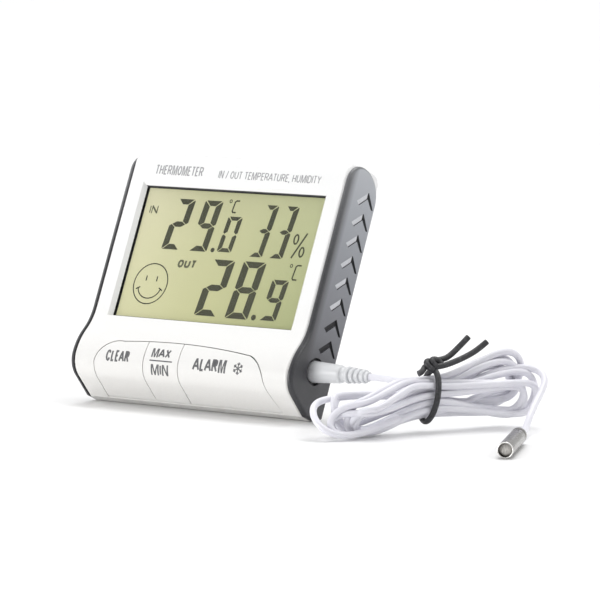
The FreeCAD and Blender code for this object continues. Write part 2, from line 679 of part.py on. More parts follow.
def battery_door():
    """A snap-in lid that swings out about the rounded tongue along its upper edge."""
    body = new_body("battery_door")
    thick = size("door_thick")
    back, radius = size("door_back"), thick / 2
    low, high = size("door_low"), size("door_high")
    side = sketch_on(body, "YZ_Plane", "door_side", size("battery_x"))
    draw(side, [("line", (back - thick, high - radius), (back - thick, low)),
                ("line", (back - thick, low), (back, low)),
                ("line", (back, low), (back, high - radius)),
                ("arc", (back, high - radius), (back - radius, high), (back - thick, high - radius))])
    pad(body, side, 2 * size("door_half_width"), "2 * Sizes.door_half_width", midplane=True)
    for i in range(3):
        groove = sketch_on(body, "XZ_Plane", "thumb_groove", -(back - 0.5))
        level = low + 4 + i * 2.2
        rectangle(groove, (size("battery_x") - 4, level), (size("battery_x") + 4, level + 1.0))
        pocket(body, groove, 3)
    keep(body, "battery_door", CASE)


def kickstand():
    """A flat leg with a hinge barrel; drawn folded flat, then swung open about its hinge."""
    body = new_body("kickstand")
    half, thick, barrel = size("stand_half_width"), size("stand_thick"), size("stand_barrel")
    depth, level = size("stand_hinge_in"), size("stand_hinge_up")
    hinge_height = lean_back(depth, level)[1] + size("floor_drop")
    reach = (hinge_height - thick / 2) / math.cos(math.radians(size("stand_open_deg")) - LEAN)
    side = sketch_on(body, "YZ_Plane", "stand_side")
    front = depth - thick / 2
    draw(side, [("line", (front, level), (front, level - reach)),
                ("arc", (front, level - reach), (front + thick / 2, level - reach - thick / 2),
                 (front + thick, level - reach)),
                ("line", (front + thick, level - reach), (front + thick, level)),
                ("line", (front + thick, level), (front, level))])
    pad(body, side, 2 * half, "2 * Sizes.stand_half_width", midplane=True)
    doc.recompute()
    shoulder, foot, narrowing = level - 12, level - reach - 3, 4
    for sign in (-1, 1):
        taper = sketch_on(body, "XZ_Plane", "stand_taper")
        draw(taper, polygon([(sign * (half + 1), shoulder), (sign * half, shoulder),
                             (sign * (half - narrowing), foot), (sign * (half + 1), foot)]))
        pocket(body, taper, 30)
    tube = sketch_on(body, "YZ_Plane", "stand_barrel")
    circle(tube, depth, level, barrel, "Sizes.stand_barrel")
    pad(body, tube, 2 * half, "2 * Sizes.stand_half_width", midplane=True)
    pins = sketch_on(body, "YZ_Plane", "stand_pins")
    circle(pins, depth, level, size("stand_pin"), "Sizes.stand_pin")
    pad(body, pins, 2 * (half + 3.2), "2 * (Sizes.stand_half_width + 3.2)", midplane=True)
    hinge = Vector(0, depth, level)
    swing = Placement(Vector(), Rotation(Vector(1, 0, 0), size("stand_open_deg")), hinge)
    keep(body, "kickstand", CASE.multiply(swing))


def fasteners():
    seam = size("seam_depth")
    screws = []
    for x in (-size("screw_x"), size("screw_x")):
        for level in (size("screw_low"), size("screw_high")):
            shank = rod("shank", (x, seam - 7, level), (0, 1, 0), size("screw_shank"), 9.5,
                        "Sizes.screw_shank")
            seat, thick, long, thin = seam + size("head_seat") + 0.1, 1.6, 1.4, 0.3
            head = rod("head", (x, seat, level), (0, 1, 0), size("screw_head"), thick, "Sizes.screw_head")
            cross = fuse("cross", [block("cross", (x - a, seat + thick / 2, level - b), (x + a, seat + 2, level + b))
                                   for a, b in ((long, thin), (thin, long))])
            screws.append(cut("screw", fuse("screw", [shank, head]), cross))
    group("case_screws", screws)
    front = size("board_front") + size("board_thick")
    group("board_screws", [rod("screw", (x, front, level), (0, 1, 0), 1.6, 1.2)
                           for x, level in ((-20, 94), (20, 94), (-20, 24), (20, 24))])
    start = front + size("unit_switch_height") + size("key_travel")
    unit = rod("unit", (size("unit_key_x"), start, size("unit_key_up")), (0, 1, 0),
               size("unit_key_radius"), rear_depth(size("unit_key_up")) + 0.4 - start, "Sizes.unit_key_radius")
    group("unit_key", [unit])


# ---------------------------------------------------------------- sensor lead
def bent_wire(points):
    """Straight runs joined by tangent arcs, each as large as its two runs allow."""
    points = [Vector(*p) for p in points]
    edges, radii = [], []
    start = points[0]
    for i in range(1, len(points) - 1):
        before, here, after = points[i - 1], points[i], points[i + 1]
        one, two = (before - here), (after - here)
        shorter = min(one.Length, two.Length)
        half_turn = (math.pi - one.getAngle(two)) / 2
        setback = 0.45 * shorter
        radii.append(setback / math.tan(half_turn))
        one.normalize()
        two.normalize()
        enter, leave = here + one * setback, here + two * setback
        middle_line = (one + two).normalize()
        centre_distance = math.hypot(radii[-1], setback)
        middle = here + middle_line * (centre_distance - radii[-1])
        edges.append(Part.LineSegment(start, enter).toShape())
        edges.append(Part.Arc(enter, middle, leave).toShape())
        start = leave
    edges.append(Part.LineSegment(start, points[-1]).toShape())
    return Part.Wire(edges), radii


def tube(label, points, radius):
    """A solid tube along a bent wire; the radii are printed and the volume compared."""
    wire, radii = bent_wire(points)
    direction = (Vector(*points[1]) - Vector(*points[0]))
    ring = Part.Wire(Part.makeCircle(radius, Vector(*points[0]), direction))
    solid = Part.Wire(wire.Edges).makePipeShell([ring], True, False)
    expected = math.pi * radius * radius * wire.Length
    print(label, "length", round(wire.Length, 1), "radii", [round(r, 1) for r in radii],
          "volume ratio", round(solid.Volume / expected, 4))
    return solid


def feature(label, shape):
    obj = doc.addObject("Part::Feature", label + "_shape")
    obj.Shape = shape
    return keep(obj, label)


PLUG_START = CASE.multVec(Vector(size("case_half_width"), size("jack_in"), size("jack_up")))
HANK_TIE = Vector(105.9, -9.1, 12.9)
HANK_TURN = math.radians(64.0)
HANK_ALONG = Vector(math.cos(HANK_TURN), math.sin(HANK_TURN), 0)
HANK_ACROSS = Vector(-math.sin(HANK_TURN), math.cos(HANK_TURN), 0)
# along the hank from its tie, height of the centre, half height, half depth
HANK_SECTIONS = [(-49.0, 8.6, 5.0, 4.5), (-42.0, 9.3, 8.2, 8.1), (-22.0, 11.5, 9.5, 7.5),
                 (0.0, 12.9, 7.9, 4.8), (18.0, 14.4, 9.6, 6.5), (30.0, 16.0, 12.0, 7.5), (40.0, 15.4, 7.5, 4.5)]
TAIL_POINTS = [(117.5, 14.5, 20.8), (120.0, 20.8, 21.9), (123.0, 26.2, 22.0), (128.0, 29.2, 20.8),
               (132.6, 26.6, 17.9), (134.8, 20.8, 14.2), (136.2, 14.4, 10.3), (138.2, 8.0, 6.4),
               (141.8, 0.4, 3.7), (146.4, -8.2, 2.7), (150.2, -16.4, 3.15)]
PROBE_TIP = Vector(168.5, -52.0, 3.05)


def lead_points():
    """From the end of the strain relief into the top of the hank."""
    x = PLUG_START.x + size("plug_stands_out") + size("boot_length")
    y, z = PLUG_START.y, PLUG_START.z
    return [(x, y, z), (x + 6.0, y - 0.6, z), (x + 11.6, y - 2.5, z + 0.1), (x + 17.0, y - 3.3, z - 0.1)]


def plug():
    """The moulded barrel with its metal pin, and the ribbed strain relief behind it."""
    y, z, x = PLUG_START.y, PLUG_START.z, PLUG_START.x
    seat = x - 1.3
    barrel = doc.addObject("Part::Cone", "barrel")
    barrel.Radius1 = size("plug_radius")
    barrel.Radius2 = size("plug_radius") - 0.35
    bind(barrel, Radius1="Sizes.plug_radius", Radius2="Sizes.plug_radius - 0.35")
    barrel.Height = x + size("plug_stands_out") - seat
    barrel.Placement = Placement(Vector(seat, y, z), Rotation(Vector(0, 0, 1), Vector(1, 0, 0)))
    pin = rod("pin", (seat - size("pin_length"), y, z), (1, 0, 0), size("pin_radius"), size("pin_length"),
              "Sizes.pin_radius")
    group("plug_barrel", [barrel], Placement())
    group("plug_pin", [pin], Placement())
    start = x + size("plug_stands_out")
    parts = [rod("core", (start, y, z), (1, 0, 0), size("boot_core"), size("boot_length"), "Sizes.boot_core")]
    for i in range(int(size("rib_count"))):
        parts.append(rod("rib", (start + 0.3 + i * size("rib_pitch"), y, z), (1, 0, 0),
                         size("rib_radius") - size("rib_step") * i, size("rib_width")))
    group("plug_boot", [fuse("plug_boot", parts)], Placement())


def hank():
    """The tied bundle of cord as one closed lofted solid."""
    wires = []
    for along, height, half_high, half_deep in HANK_SECTIONS:
        centre = Vector(HANK_TIE.x, HANK_TIE.y, height) + HANK_ALONG * along
        ellipse = Part.Ellipse(centre + Vector(0, 0, half_high), centre + HANK_ACROSS * half_deep, centre)
        wires.append(Part.Wire(ellipse.toShape()))
    feature("cord_hank", Part.makeLoft(wires, True, False))


def twist_tie():
    """A round tie looped once round the hank, twisted on top, with its two ends standing up."""
    radius = size("tie_radius")
    _, _, neck_high, neck_deep = HANK_SECTIONS[3]
    high, deep, corner = neck_high + radius * 0.8, neck_deep + radius * 0.8, 4.2

    def at(across, up, along=0.0):
        return HANK_TIE + HANK_ACROSS * across + Vector(0, 0, up) + HANK_ALONG * along

    edges = []
    corners = [(1, 1), (-1, 1), (-1, -1), (1, -1)]
    for i, (a, b) in enumerate(corners):
        flat = i % 2 == 0
        bend = (1 - math.sqrt(0.5)) * corner
        side_point = at(a * deep, b * (high - corner))
        top_point = at(a * (deep - corner), b * high)
        middle = at(a * (deep - bend), b * (high - bend))
        first, last = (side_point, top_point) if flat else (top_point, side_point)
        edges.append(Part.Arc(first, middle, last).toShape())
        c, d = corners[(i + 1) % 4]
        following = at(c * (deep - corner), d * high) if flat else at(c * deep, d * (high - corner))
        edges.append(Part.LineSegment(last, following).toShape())
    path = Part.Wire(Part.__sortEdges__(edges))
    ring = Part.Wire(Part.makeCircle(radius, at(deep, -(high - corner)), Vector(0, 0, 1)))
    loop = path.makePipeShell([ring], True, False)
    knot = [at(0.5, high, 0.0), at(1.0, high + 2.6, -5.0), at(-0.6, high + 4.4, -1.0), at(0.4, high + 4.0, 3.5)]
    ends = [[knot[-1], at(1.5, high + 6.0, 8.0), at(2.0, high + 12.3, 16.5)],
            [knot[-1], at(-1.5, high + 5.2, 12.0), at(-1.0, high + 10.5, 22.5)]]
    solid = loop
    for chain in [knot] + ends:
        for a, b in zip(chain, chain[1:]):
            solid = solid.fuse(Part.makeCylinder(radius, (b - a).Length, a, b - a))
            solid = solid.fuse(Part.makeSphere(radius, b))
    feature("twist_tie", solid.removeSplitter())


def probe():
    """The metal sensor sleeve on the end of the tail."""
    tail_end = Vector(*TAIL_POINTS[-1])
    direction = (PROBE_TIP - tail_end).normalize()
    sleeve = rod("probe", tuple(tail_end), tuple(direction), size("probe_radius"), size("probe_length"),
                 "Sizes.probe_radius")
    group("probe_sleeve", [sleeve], Placement())


def sensor_lead():
    plug()
    feature("cord_lead", tube("cord_lead", lead_points(), size("cord_radius")))
    hank()
    twist_tie()
    feature("cord_tail", tube("cord_tail", TAIL_POINTS, size("cord_radius")))
    probe()


# ---------------------------------------------------------------- build and export
front_cover()
rear_cover()
side_grip("side_grip_left", -1)
side_grip("side_grip_right", 1)
key("clear_key", None, size("key_split_left"))
key("max_min_key", size("key_split_left"), size("key_split_right"))
key("alarm_key", size("key_split_right"), None)
display()
electronics()
battery()
battery_door()
kickstand()
fasteners()
sensor_lead()
doc.recompute()

for obj in doc.Objects:
    if "Invalid" in obj.State or "Error" in obj.State:
        raise RuntimeError(f"{obj.Name} ({obj.Label}) failed: {obj.State}")
os.makedirs("parts", exist_ok=True)
for obj in NODES:
    if obj.Shape.isNull() or not obj.Shape.isValid():
        raise RuntimeError(f"{obj.Label} has no valid shape")
    obj.Shape.exportStep(f"parts/{obj.Label}.step")
    print(obj.Label, len(obj.Shape.Solids), "solids", round(obj.Shape.Volume, 1), "mm3")
print("case frame origin", tuple(round(v, 4) for v in CASE.Base))
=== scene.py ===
"""Looks of a desktop thermometer and humidity gauge with a remote sensor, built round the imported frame.

Names ending in _MM, and every point of the case or the cord, are in millimetres. A point of the case is
given as x across it, depth from its front face backwards, and up along that face; case() turns it into
the row frame in metres, where the case leans back on its stand.
"""

import math
from collections import namedtuple

import bmesh
import bpy
from mathutils import Matrix, Vector


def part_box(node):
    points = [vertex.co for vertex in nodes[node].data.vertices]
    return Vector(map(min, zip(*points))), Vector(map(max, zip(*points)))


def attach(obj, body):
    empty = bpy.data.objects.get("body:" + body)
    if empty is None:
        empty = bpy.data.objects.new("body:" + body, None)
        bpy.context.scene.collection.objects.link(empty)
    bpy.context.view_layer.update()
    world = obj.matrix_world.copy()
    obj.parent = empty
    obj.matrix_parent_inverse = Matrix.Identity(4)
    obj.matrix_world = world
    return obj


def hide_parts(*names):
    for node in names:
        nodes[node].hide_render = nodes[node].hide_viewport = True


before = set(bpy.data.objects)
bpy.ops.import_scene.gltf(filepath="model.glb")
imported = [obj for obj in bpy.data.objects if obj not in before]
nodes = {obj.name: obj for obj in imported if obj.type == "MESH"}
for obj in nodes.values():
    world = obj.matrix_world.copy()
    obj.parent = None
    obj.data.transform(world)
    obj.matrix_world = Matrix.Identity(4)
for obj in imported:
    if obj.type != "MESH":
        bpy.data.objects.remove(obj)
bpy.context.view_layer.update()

MM = 0.001
LEAN = math.radians(23.7)
LEANING = Matrix.Rotation(-LEAN, 3, "X")
UPWARDS = LEANING @ Vector((0, 0, 1))
JACK_UP, JACK_IN = 17.7, 9.0
GRIP_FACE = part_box("side_grip_right")[1].x / MM


def plug_root():
    """The middle of the plug's axis where it enters the side grip, in the row frame."""
    low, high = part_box("plug_barrel")
    return Vector((GRIP_FACE * MM, (low.y + high.y) / 2, (low.z + high.z) / 2))


CASE_ORIGIN = plug_root() - LEANING @ (Vector((GRIP_FACE, JACK_IN, JACK_UP)) * MM)


def case(x, depth, up):
    return CASE_ORIGIN + LEANING @ (Vector((x, depth, up)) * MM)


def add_object(name, data):
    obj = bpy.data.objects.new(name, data)
    bpy.context.scene.collection.objects.link(obj)
    return obj


# -------- camera
def add_camera():
    azimuth, elevation, lens = math.radians(37.5), math.radians(5.91), 244.6
    distance, aside, above = 1.5647, 0.04681, 0.03758
    turn_cos, turn_sin = math.cos(azimuth), math.sin(azimuth)
    rise_cos, rise_sin = math.cos(elevation), math.sin(elevation)
    back = Vector((turn_sin * rise_cos, -turn_cos * rise_cos, rise_sin))
    right = Vector((turn_cos, turn_sin, 0))
    up = Vector((-turn_sin * rise_sin, turn_cos * rise_sin, rise_cos))
    camera = add_object("Camera", bpy.data.cameras.new("Camera"))
    camera.data.lens = lens
    camera.data.clip_start, camera.data.clip_end = 0.05, 30
    camera.location = CASE_ORIGIN + back * distance + right * aside + up * above
    camera.rotation_mode = "QUATERNION"
    camera.rotation_quaternion = (-back).to_track_quat("-Z", "Y")
    bpy.context.scene.camera = camera


add_camera()

# -------- the free cord's route
CORD_DIAMETER, CORD_LENGTH = 0.0026, 1.5
LEAD_POINTS_MM = [(80.2, -13.27, 18.89), (86.2, -13.9, 18.9), (91.8, -15.8, 19.0), (97.2, -16.6, 18.8)]
TAIL_POINTS_MM = [(117.5, 14.5, 20.8), (120.0, 20.8, 21.9), (123.0, 26.2, 22.0), (128.0, 29.2, 20.8),
                  (132.6, 26.6, 17.9), (134.8, 20.8, 14.2), (136.2, 14.4, 10.3), (138.2, 8.0, 6.4),
                  (141.8, 0.4, 3.7), (146.4, -8.2, 2.7), (150.2, -16.4, 3.15)]
HANK_TIE_MM = Vector((105.9, -9.1, 12.9))
HANK_TURN = math.radians(64)
HANK_ALONG = Vector((math.cos(HANK_TURN), math.sin(HANK_TURN), 0))
HANK_ACROSS = Vector((-math.sin(HANK_TURN), math.cos(HANK_TURN), 0))
TIE_HALF_WIDTH = 2.5
FOLD_SWELL = 1.07

# A turn of the hank runs through the tie twice, at upper and lower, as (across, height) from its middle.
# Each of its two folds joins a top and a bottom strand, given the same way, and reaches so far from the
# tie; crown is how much the top strand arches on its way there. Less across is nearer to the viewer.
# The strands run straight for TIE_HALF_WIDTH under the tie. A spline cuts inside its control points, so
# those of a fold stand out by FOLD_SWELL.
Fold = namedtuple("Fold", "top bottom reach crown")
Turn = namedtuple("Turn", "upper lower left right")
HANK_TURNS = [
    Turn((1.13, 6.5), (1.13, -3.9), None, Fold((3.5, 13.5), (5.0, -2.5), 37, 0.0)),
    Turn((3.4, 2.6), (-1.13, -5.2),
         Fold((6.5, 1.0), (-8.5, -11.2), 49, 0.0), Fold((1.5, 15.5), (3.0, 1.0), 39, 0.0)),
    Turn((-1.13, 5.2), (1.13, -6.5),
         Fold((-8.5, 0.5), (-2.0, -11.3), 38, 3.0), Fold((-7.0, 4.5), (-2.0, -7.0), 36, 0.0)),
    Turn((1.13, 3.9), (3.4, -2.6),
         Fold((-4.5, 1.5), (-0.5, -11.2), 36, 4.0), Fold((0.5, 12.0), (1.0, -3.0), 37, 0.0)),
    Turn((-3.4, 3.9), (-3.4, -3.9),
         Fold((-12.0, -1.5), (-4.0, -11.3), 35, 3.0), Fold((-8.0, 4.5), (-4.5, -8.0), 41, 0.0)),
    Turn((-1.13, 2.6), (-1.13, -2.6),
         Fold((-7.0, -2.5), (3.0, -11.2), 33, 2.0), Fold((-1.5, 8.0), (-1.0, -7.0), 43, 0.0)),
    Turn((1.13, 1.3), (1.13, -1.3),
         Fold((5.0, 2.5), (4.0, -10.0), 44, 0.0), Fold((3.5, 10.0), (4.5, -5.0), 35, 0.0)),
    Turn((-3.4, 1.3), (-3.4, -1.3),
         Fold((-10.0, -3.5), (0.5, -11.3), 38, 0.0), Fold((-5.5, 3.0), (-2.0, -8.5), 37, 0.0)),
    Turn((3.4, 0.0), (3.4, 0.0),
         Fold((7.5, 1.5), (6.5, -10.5), 41, 0.0), Fold((6.5, 9.5), (5.5, 0.0), 38, 0.0)),
]


def hank_point(along, across, height):
    return HANK_TIE_MM + HANK_ALONG * along + HANK_ACROSS * across + Vector((0, 0, height))


def smooth(share):
    share = min(max(share, 0.0), 1.0)
    return share * share * (3 - 2 * share)


def mix(one, two, share):
    return one + (two - one) * share


def fold_radius(fold):
    return math.hypot(fold.top[0] - fold.bottom[0], fold.top[1] - fold.bottom[1]) / 2


def strand_point(slot, fold, top, side, share):
    """A point of a strand, at a share of its way from its slot in the tie to the fold on one side."""
    bend = fold.reach - fold_radius(fold)
    along = bend * share
    part = smooth((along - TIE_HALF_WIDTH) / (bend - TIE_HALF_WIDTH))
    end = fold.top if top else fold.bottom
    rise = fold.crown * math.sin(math.pi * min(share, 1.0)) if top else 0.0
    return hank_point(side * along, mix(slot[0], end[0], part), mix(slot[1], end[1], part) + rise)


def fold_points(arriving, leaving, side):
    """Round one end of the hank, from the fold where the cord arrives to the one where it leaves."""
    points = []
    degrees = (50, 17, -17, -50) if side > 0 else (-50, -17, 17, 50)
    for step, angle in enumerate(math.radians(d) for d in degrees):
        share = (step + 1) / (len(degrees) + 1)
        top = [mix(arriving.top[i], leaving.top[i], share) for i in (0, 1)]
        bottom = [mix(arriving.bottom[i], leaving.bottom[i], share) for i in (0, 1)]
        radius = mix(fold_radius(arriving), fold_radius(leaving), share)
        along = mix(arriving.reach, leaving.reach, share) - radius + FOLD_SWELL * radius * math.cos(angle)
        part = (1 + FOLD_SWELL * math.sin(angle)) / 2
        points.append(hank_point(side * along, mix(bottom[0], top[0], part), mix(bottom[1], top[1], part)))
    return points


def hank_route():
    """Control points of all the hank's turns, from the lead's end to the tail's start."""
    points = []
    for i, turn in enumerate(HANK_TURNS):
        last = i == len(HANK_TURNS) - 1
        if i > 0:
            points += [strand_point(turn.upper, turn.left, True, -1, s) for s in (1.0, 0.7, 0.4, 0.1)]
        shares = (0.15, 0.45) if last else (0.15, 0.45, 0.75, 1.0)
        points += [strand_point(turn.upper, turn.right, True, 1, s) for s in shares]
        if last:
            break
        points += fold_points(turn.right, turn.right, 1)
        points += [strand_point(turn.lower, turn.right, False, 1, s) for s in (1.0, 0.7, 0.4, 0.1)]
        following = HANK_TURNS[i + 1].left
        left = turn.left or following
        points += [strand_point(turn.lower, left, False, -1, s) for s in (0.15, 0.45, 0.75, 1.0)]
        points += fold_points(left, following, -1)
    return points


def cord_curve(name, points, radius, order=3, closed=False, smoothness=(5, 6)):
    """A NURBS cord or wire of a radius in metres, whose control points are given in millimetres."""
    data = bpy.data.curves.new(name, "CURVE")
    data.dimensions = "3D"
    data.bevel_depth = radius
    data.bevel_resolution, data.resolution_u = smoothness
    data.use_fill_caps = True
    spline = data.splines.new("NURBS")
    spline.points.add(len(points) - 1)
    for control, place in zip(spline.points, points):
        control.co = (*(Vector(place) * MM), 1)
    spline.order_u = order
    spline.use_endpoint_u = not closed
    spline.use_cyclic_u = closed
    return add_object(name, data)


# -------- materials
class Paint:
    """A principled material and short ways to add nodes to it."""

    def __init__(self, name, colour, roughness, metallic=0.0, **sockets):
        self.material = bpy.data.materials.new(name)
        self.material.use_nodes = True
        self.tree = self.material.node_tree
        self.shader = self.tree.nodes["Principled BSDF"]
        self.shader.inputs["Base Color"].default_value = (*colour, 1)
        self.shader.inputs["Roughness"].default_value = roughness
        self.shader.inputs["Metallic"].default_value = metallic
        for socket, value in sockets.items():
            self.shader.inputs[socket.replace("_", " ").title().replace("Ior", "IOR")].default_value = value
        self.place = self.node("ShaderNodeTexCoord").outputs["Object"]

    def node(self, kind, **settings):
        made = self.tree.nodes.new(kind)
        for key, value in settings.items():
            setattr(made, key, value)
        return made

    def feed(self, socket, value):
        if isinstance(value, bpy.types.NodeSocket):
            self.tree.links.new(value, socket)
        else:
            socket.default_value = value

    def noise(self, scale, detail=3.0, stretch=None, distortion=0.0):
        made = self.node("ShaderNodeTexNoise")
        made.inputs["Scale"].default_value = scale
        made.inputs["Detail"].default_value = detail
        made.inputs["Distortion"].default_value = distortion
        place = self.place
        if stretch:
            mapping = self.node("ShaderNodeMapping")
            mapping.inputs["Scale"].default_value = stretch
            self.feed(mapping.inputs["Vector"], place)
            place = mapping.outputs["Vector"]
        self.feed(made.inputs["Vector"], place)
        return made.outputs["Fac"]

    def spread(self, value, low, high, start, end):
        """Takes a value's range start..end to low..high."""
        made = self.node("ShaderNodeMapRange")
        self.feed(made.inputs["Value"], value)
        for socket, number in (("From Min", start), ("From Max", end), ("To Min", low), ("To Max", high)):
            made.inputs[socket].default_value = number
        return made.outputs["Result"]

    def blend(self, share, one, two):
        made = self.node("ShaderNodeMix", data_type="RGBA")
        self.feed(made.inputs[0], share)
        for socket, value in ((made.inputs[6], one), (made.inputs[7], two)):
            self.feed(socket, value if isinstance(value, bpy.types.NodeSocket) else (*value, 1))
        return made.outputs[2]

    def ramp(self, value, stops):
        made = self.node("ShaderNodeValToRGB")
        self.feed(made.inputs["Fac"], value)
        elements = made.color_ramp.elements
        while len(elements) < len(stops):
            elements.new(0.5)
        for element, (place, colour) in zip(elements, stops):
            element.position = place
            element.color = (*colour, 1)
        return made.outputs["Color"]

    def axis(self, direction, start, end):
        """0 to 1 along a direction of the row frame, between two distances in metres from CASE_ORIGIN."""
        shifted = self.node("ShaderNodeVectorMath", operation="SUBTRACT")
        self.feed(shifted.inputs[0], self.place)
        shifted.inputs[1].default_value = CASE_ORIGIN
        made = self.node("ShaderNodeVectorMath", operation="DOT_PRODUCT")
        self.feed(made.inputs[0], shifted.outputs["Vector"])
        made.inputs[1].default_value = direction
        return self.spread(made.outputs["Value"], 0.0, 1.0, start, end)

    def facing(self, axis):
        """How squarely the surface faces along X, Y or Z, either way, in the object's own space."""
        normal = self.node("ShaderNodeTexCoord").outputs["Normal"]
        split = self.node("ShaderNodeSeparateXYZ")
        self.feed(split.inputs["Vector"], normal)
        made = self.node("ShaderNodeMath", operation="ABSOLUTE")
        self.feed(made.inputs[0], split.outputs[axis])
        return made.outputs["Value"]

    def colour(self, value):
        self.feed(self.shader.inputs["Base Color"], value)
        return self

    def roughness(self, value):
        self.feed(self.shader.inputs["Roughness"], value)
        return self

    def bump(self, height, strength, distance=0.0001):
        made = self.node("ShaderNodeBump")
        made.inputs["Strength"].default_value = strength
        made.inputs["Distance"].default_value = distance
        self.feed(made.inputs["Height"], height)
        self.feed(self.shader.inputs["Normal"], made.outputs["Normal"])
        return self


def tones(colour, share):
    """The colour a little lighter and a little darker."""
    return tuple(min(c * (1 + share), 1.0) for c in colour), tuple(c * (1 - share) for c in colour)


def moulded(name, colour, roughness, share=0.02, grain=1500.0, strength=0.08, tone=None, **sockets):
    """Moulded plastic with a fine spark-eroded grain; without a tone of its own it has faint flow patches."""
    paint = Paint(name, colour, roughness, **sockets)
    if tone:
        paint.colour(tone(paint))
    else:
        patches = paint.noise(45.0, 4.0, distortion=0.6)
        paint.colour(paint.blend(paint.spread(patches, 0, 1, 0.35, 0.65), *tones(colour, share)))
    fine = paint.noise(grain, 2.0)
    paint.roughness(paint.spread(fine, roughness * 0.85, roughness * 1.2, 0.3, 0.7))
    return paint.bump(fine, strength).material


def shell_patches_and_belly_shade(paint):
    """Painted shade low on the belly, which turns down: a touch warmer and greyer there, lighter upwards;
    with faint flow patches.
    """
    up = paint.axis(UPWARDS, 0.004, 0.05)
    patches = paint.spread(paint.noise(45.0, 4.0), 0.992, 1.0, 0.3, 0.7)
    # Painted shade: the colour darkens towards the bottom of the case.
    tone = paint.ramp(up, [(0.0, (0.75, 0.74, 0.72)), (0.45, (0.83, 0.827, 0.815)),
                           (1.0, (0.85, 0.852, 0.85))])
    scale = paint.node("ShaderNodeVectorMath", operation="SCALE")
    paint.feed(scale.inputs[0], tone)
    paint.feed(scale.inputs["Scale"], patches)
    return scale.outputs["Vector"]


def grip_painted_shading(paint):
    """Painted shading: the rounded rim and the belly painted dark as shade, round a satin face painted
    lighter upwards as if lit from above.
    """
    up = paint.axis(UPWARDS, 0.0, 0.1)
    # Painted light and shade: the face lightens upwards and darkens towards the belly.
    face = paint.ramp(up, [(0.16, (0.042, 0.042, 0.047)), (0.31, (0.15, 0.153, 0.17)),
                           (0.6, (0.25, 0.26, 0.285)), (0.85, (0.35, 0.365, 0.395)),
                           (1.0, (0.43, 0.445, 0.475))])
    rim = paint.ramp(up, [(0.0, (0.03, 0.03, 0.034)), (0.6, (0.06, 0.061, 0.065)),
                          (1.0, (0.15, 0.153, 0.16))])
    # Painted shade: faces that turn from the side, and a band near the front, take the dark rim colour.
    flat = paint.spread(paint.facing("X"), 0, 1, 0.8, 0.995)
    inward = paint.axis(LEANING @ Vector((0, 1, 0)), 0.0008, 0.0048)
    share = paint.node("ShaderNodeMath", operation="MULTIPLY")
    paint.feed(share.inputs[0], flat)
    paint.feed(share.inputs[1], inward)
    speck = paint.spread(paint.noise(2600.0, 1.0), 0.0, 0.06, 0.45, 0.75)
    both = paint.blend(share.outputs["Value"], rim, face)
    return paint.blend(speck, both, (0.5, 0.5, 0.52))


def display_face():
    """Reflective yellow-green display with painted light: lighter towards its upper left, darker to its lower
    right, with a very fine pixel tooth.
    """
    paint = Paint("display_face", (0.34, 0.35, 0.2), 0.42)
    # Painted light: lit towards the upper left, shaded towards the lower right.
    across = paint.axis((1, 0, 0), -0.044, 0.044)
    up = paint.axis(UPWARDS, 0.03, 0.086)
    low = paint.ramp(across, [(0.0, (0.9, 0.885, 0.53)), (0.5, (0.74, 0.745, 0.39)),
                              (1.0, (0.53, 0.57, 0.275))])
    high = paint.ramp(across, [(0.0, (0.98, 0.95, 0.64)), (0.35, (0.76, 0.755, 0.45)),
                               (1.0, (0.68, 0.71, 0.4))])
    cloud = paint.spread(paint.noise(22.0, 2.0), 0.0, 0.08, 0.35, 0.7)
    tone = paint.blend(up, low, high)
    paint.colour(paint.blend(cloud, tone, (0.56, 0.57, 0.3)))
    return paint.bump(paint.noise(2600.0, 1.0), 0.05).material


def display_ink(name, colour):
    paint = Paint(name, colour, 0.5)
    cloud = paint.spread(paint.noise(120.0, 2.0), 0, 1, 0.35, 0.65)
    return paint.colour(paint.blend(cloud, *tones(colour, 0.12))).material


def display_pane():
    """Clear pane: nearly all light passes, and only its gloss shows."""
    paint = Paint("display_pane", (0.02, 0.022, 0.02), 0.05, alpha=0.1, ior=1.49)
    return paint.bump(paint.noise(35.0, 1.0), 0.02, 0.0002).material


def printed_ink(name, fresh, worn):
    """Pad-printed ink that is lightly rubbed off in spots."""
    paint = Paint(name, fresh, 0.45)
    wear = paint.spread(paint.noise(900.0, 3.0), 0, 1, 0.5, 0.8)
    return paint.colour(paint.blend(wear, fresh, worn)).material


def cord_vinyl():
    """Soft white vinyl with a faint lavender cast, drawn lengthwise marks and handling smudges."""
    paint = Paint("cord_vinyl", (0.78, 0.775, 0.83), 0.36, coat_weight=0.15, coat_roughness=0.2)
    smudge = paint.spread(paint.noise(60.0, 4.0), 0, 1, 0.42, 0.75)
    paint.colour(paint.blend(smudge, (0.79, 0.785, 0.84), (0.7, 0.695, 0.755)))
    paint.roughness(paint.spread(paint.noise(400.0, 3.0), 0.28, 0.46, 0.3, 0.7))
    return paint.bump(paint.noise(1800.0, 2.0), 0.06).material


def tie_black():
    paint = Paint("tie_black", (0.03, 0.03, 0.033), 0.5)
    scuff = paint.spread(paint.noise(700.0, 3.0), 0, 1, 0.5, 0.8)
    paint.colour(paint.blend(scuff, (0.026, 0.026, 0.029), (0.075, 0.075, 0.08)))
    return paint.bump(paint.noise(1500.0, 2.0), 0.25, 0.00015).material


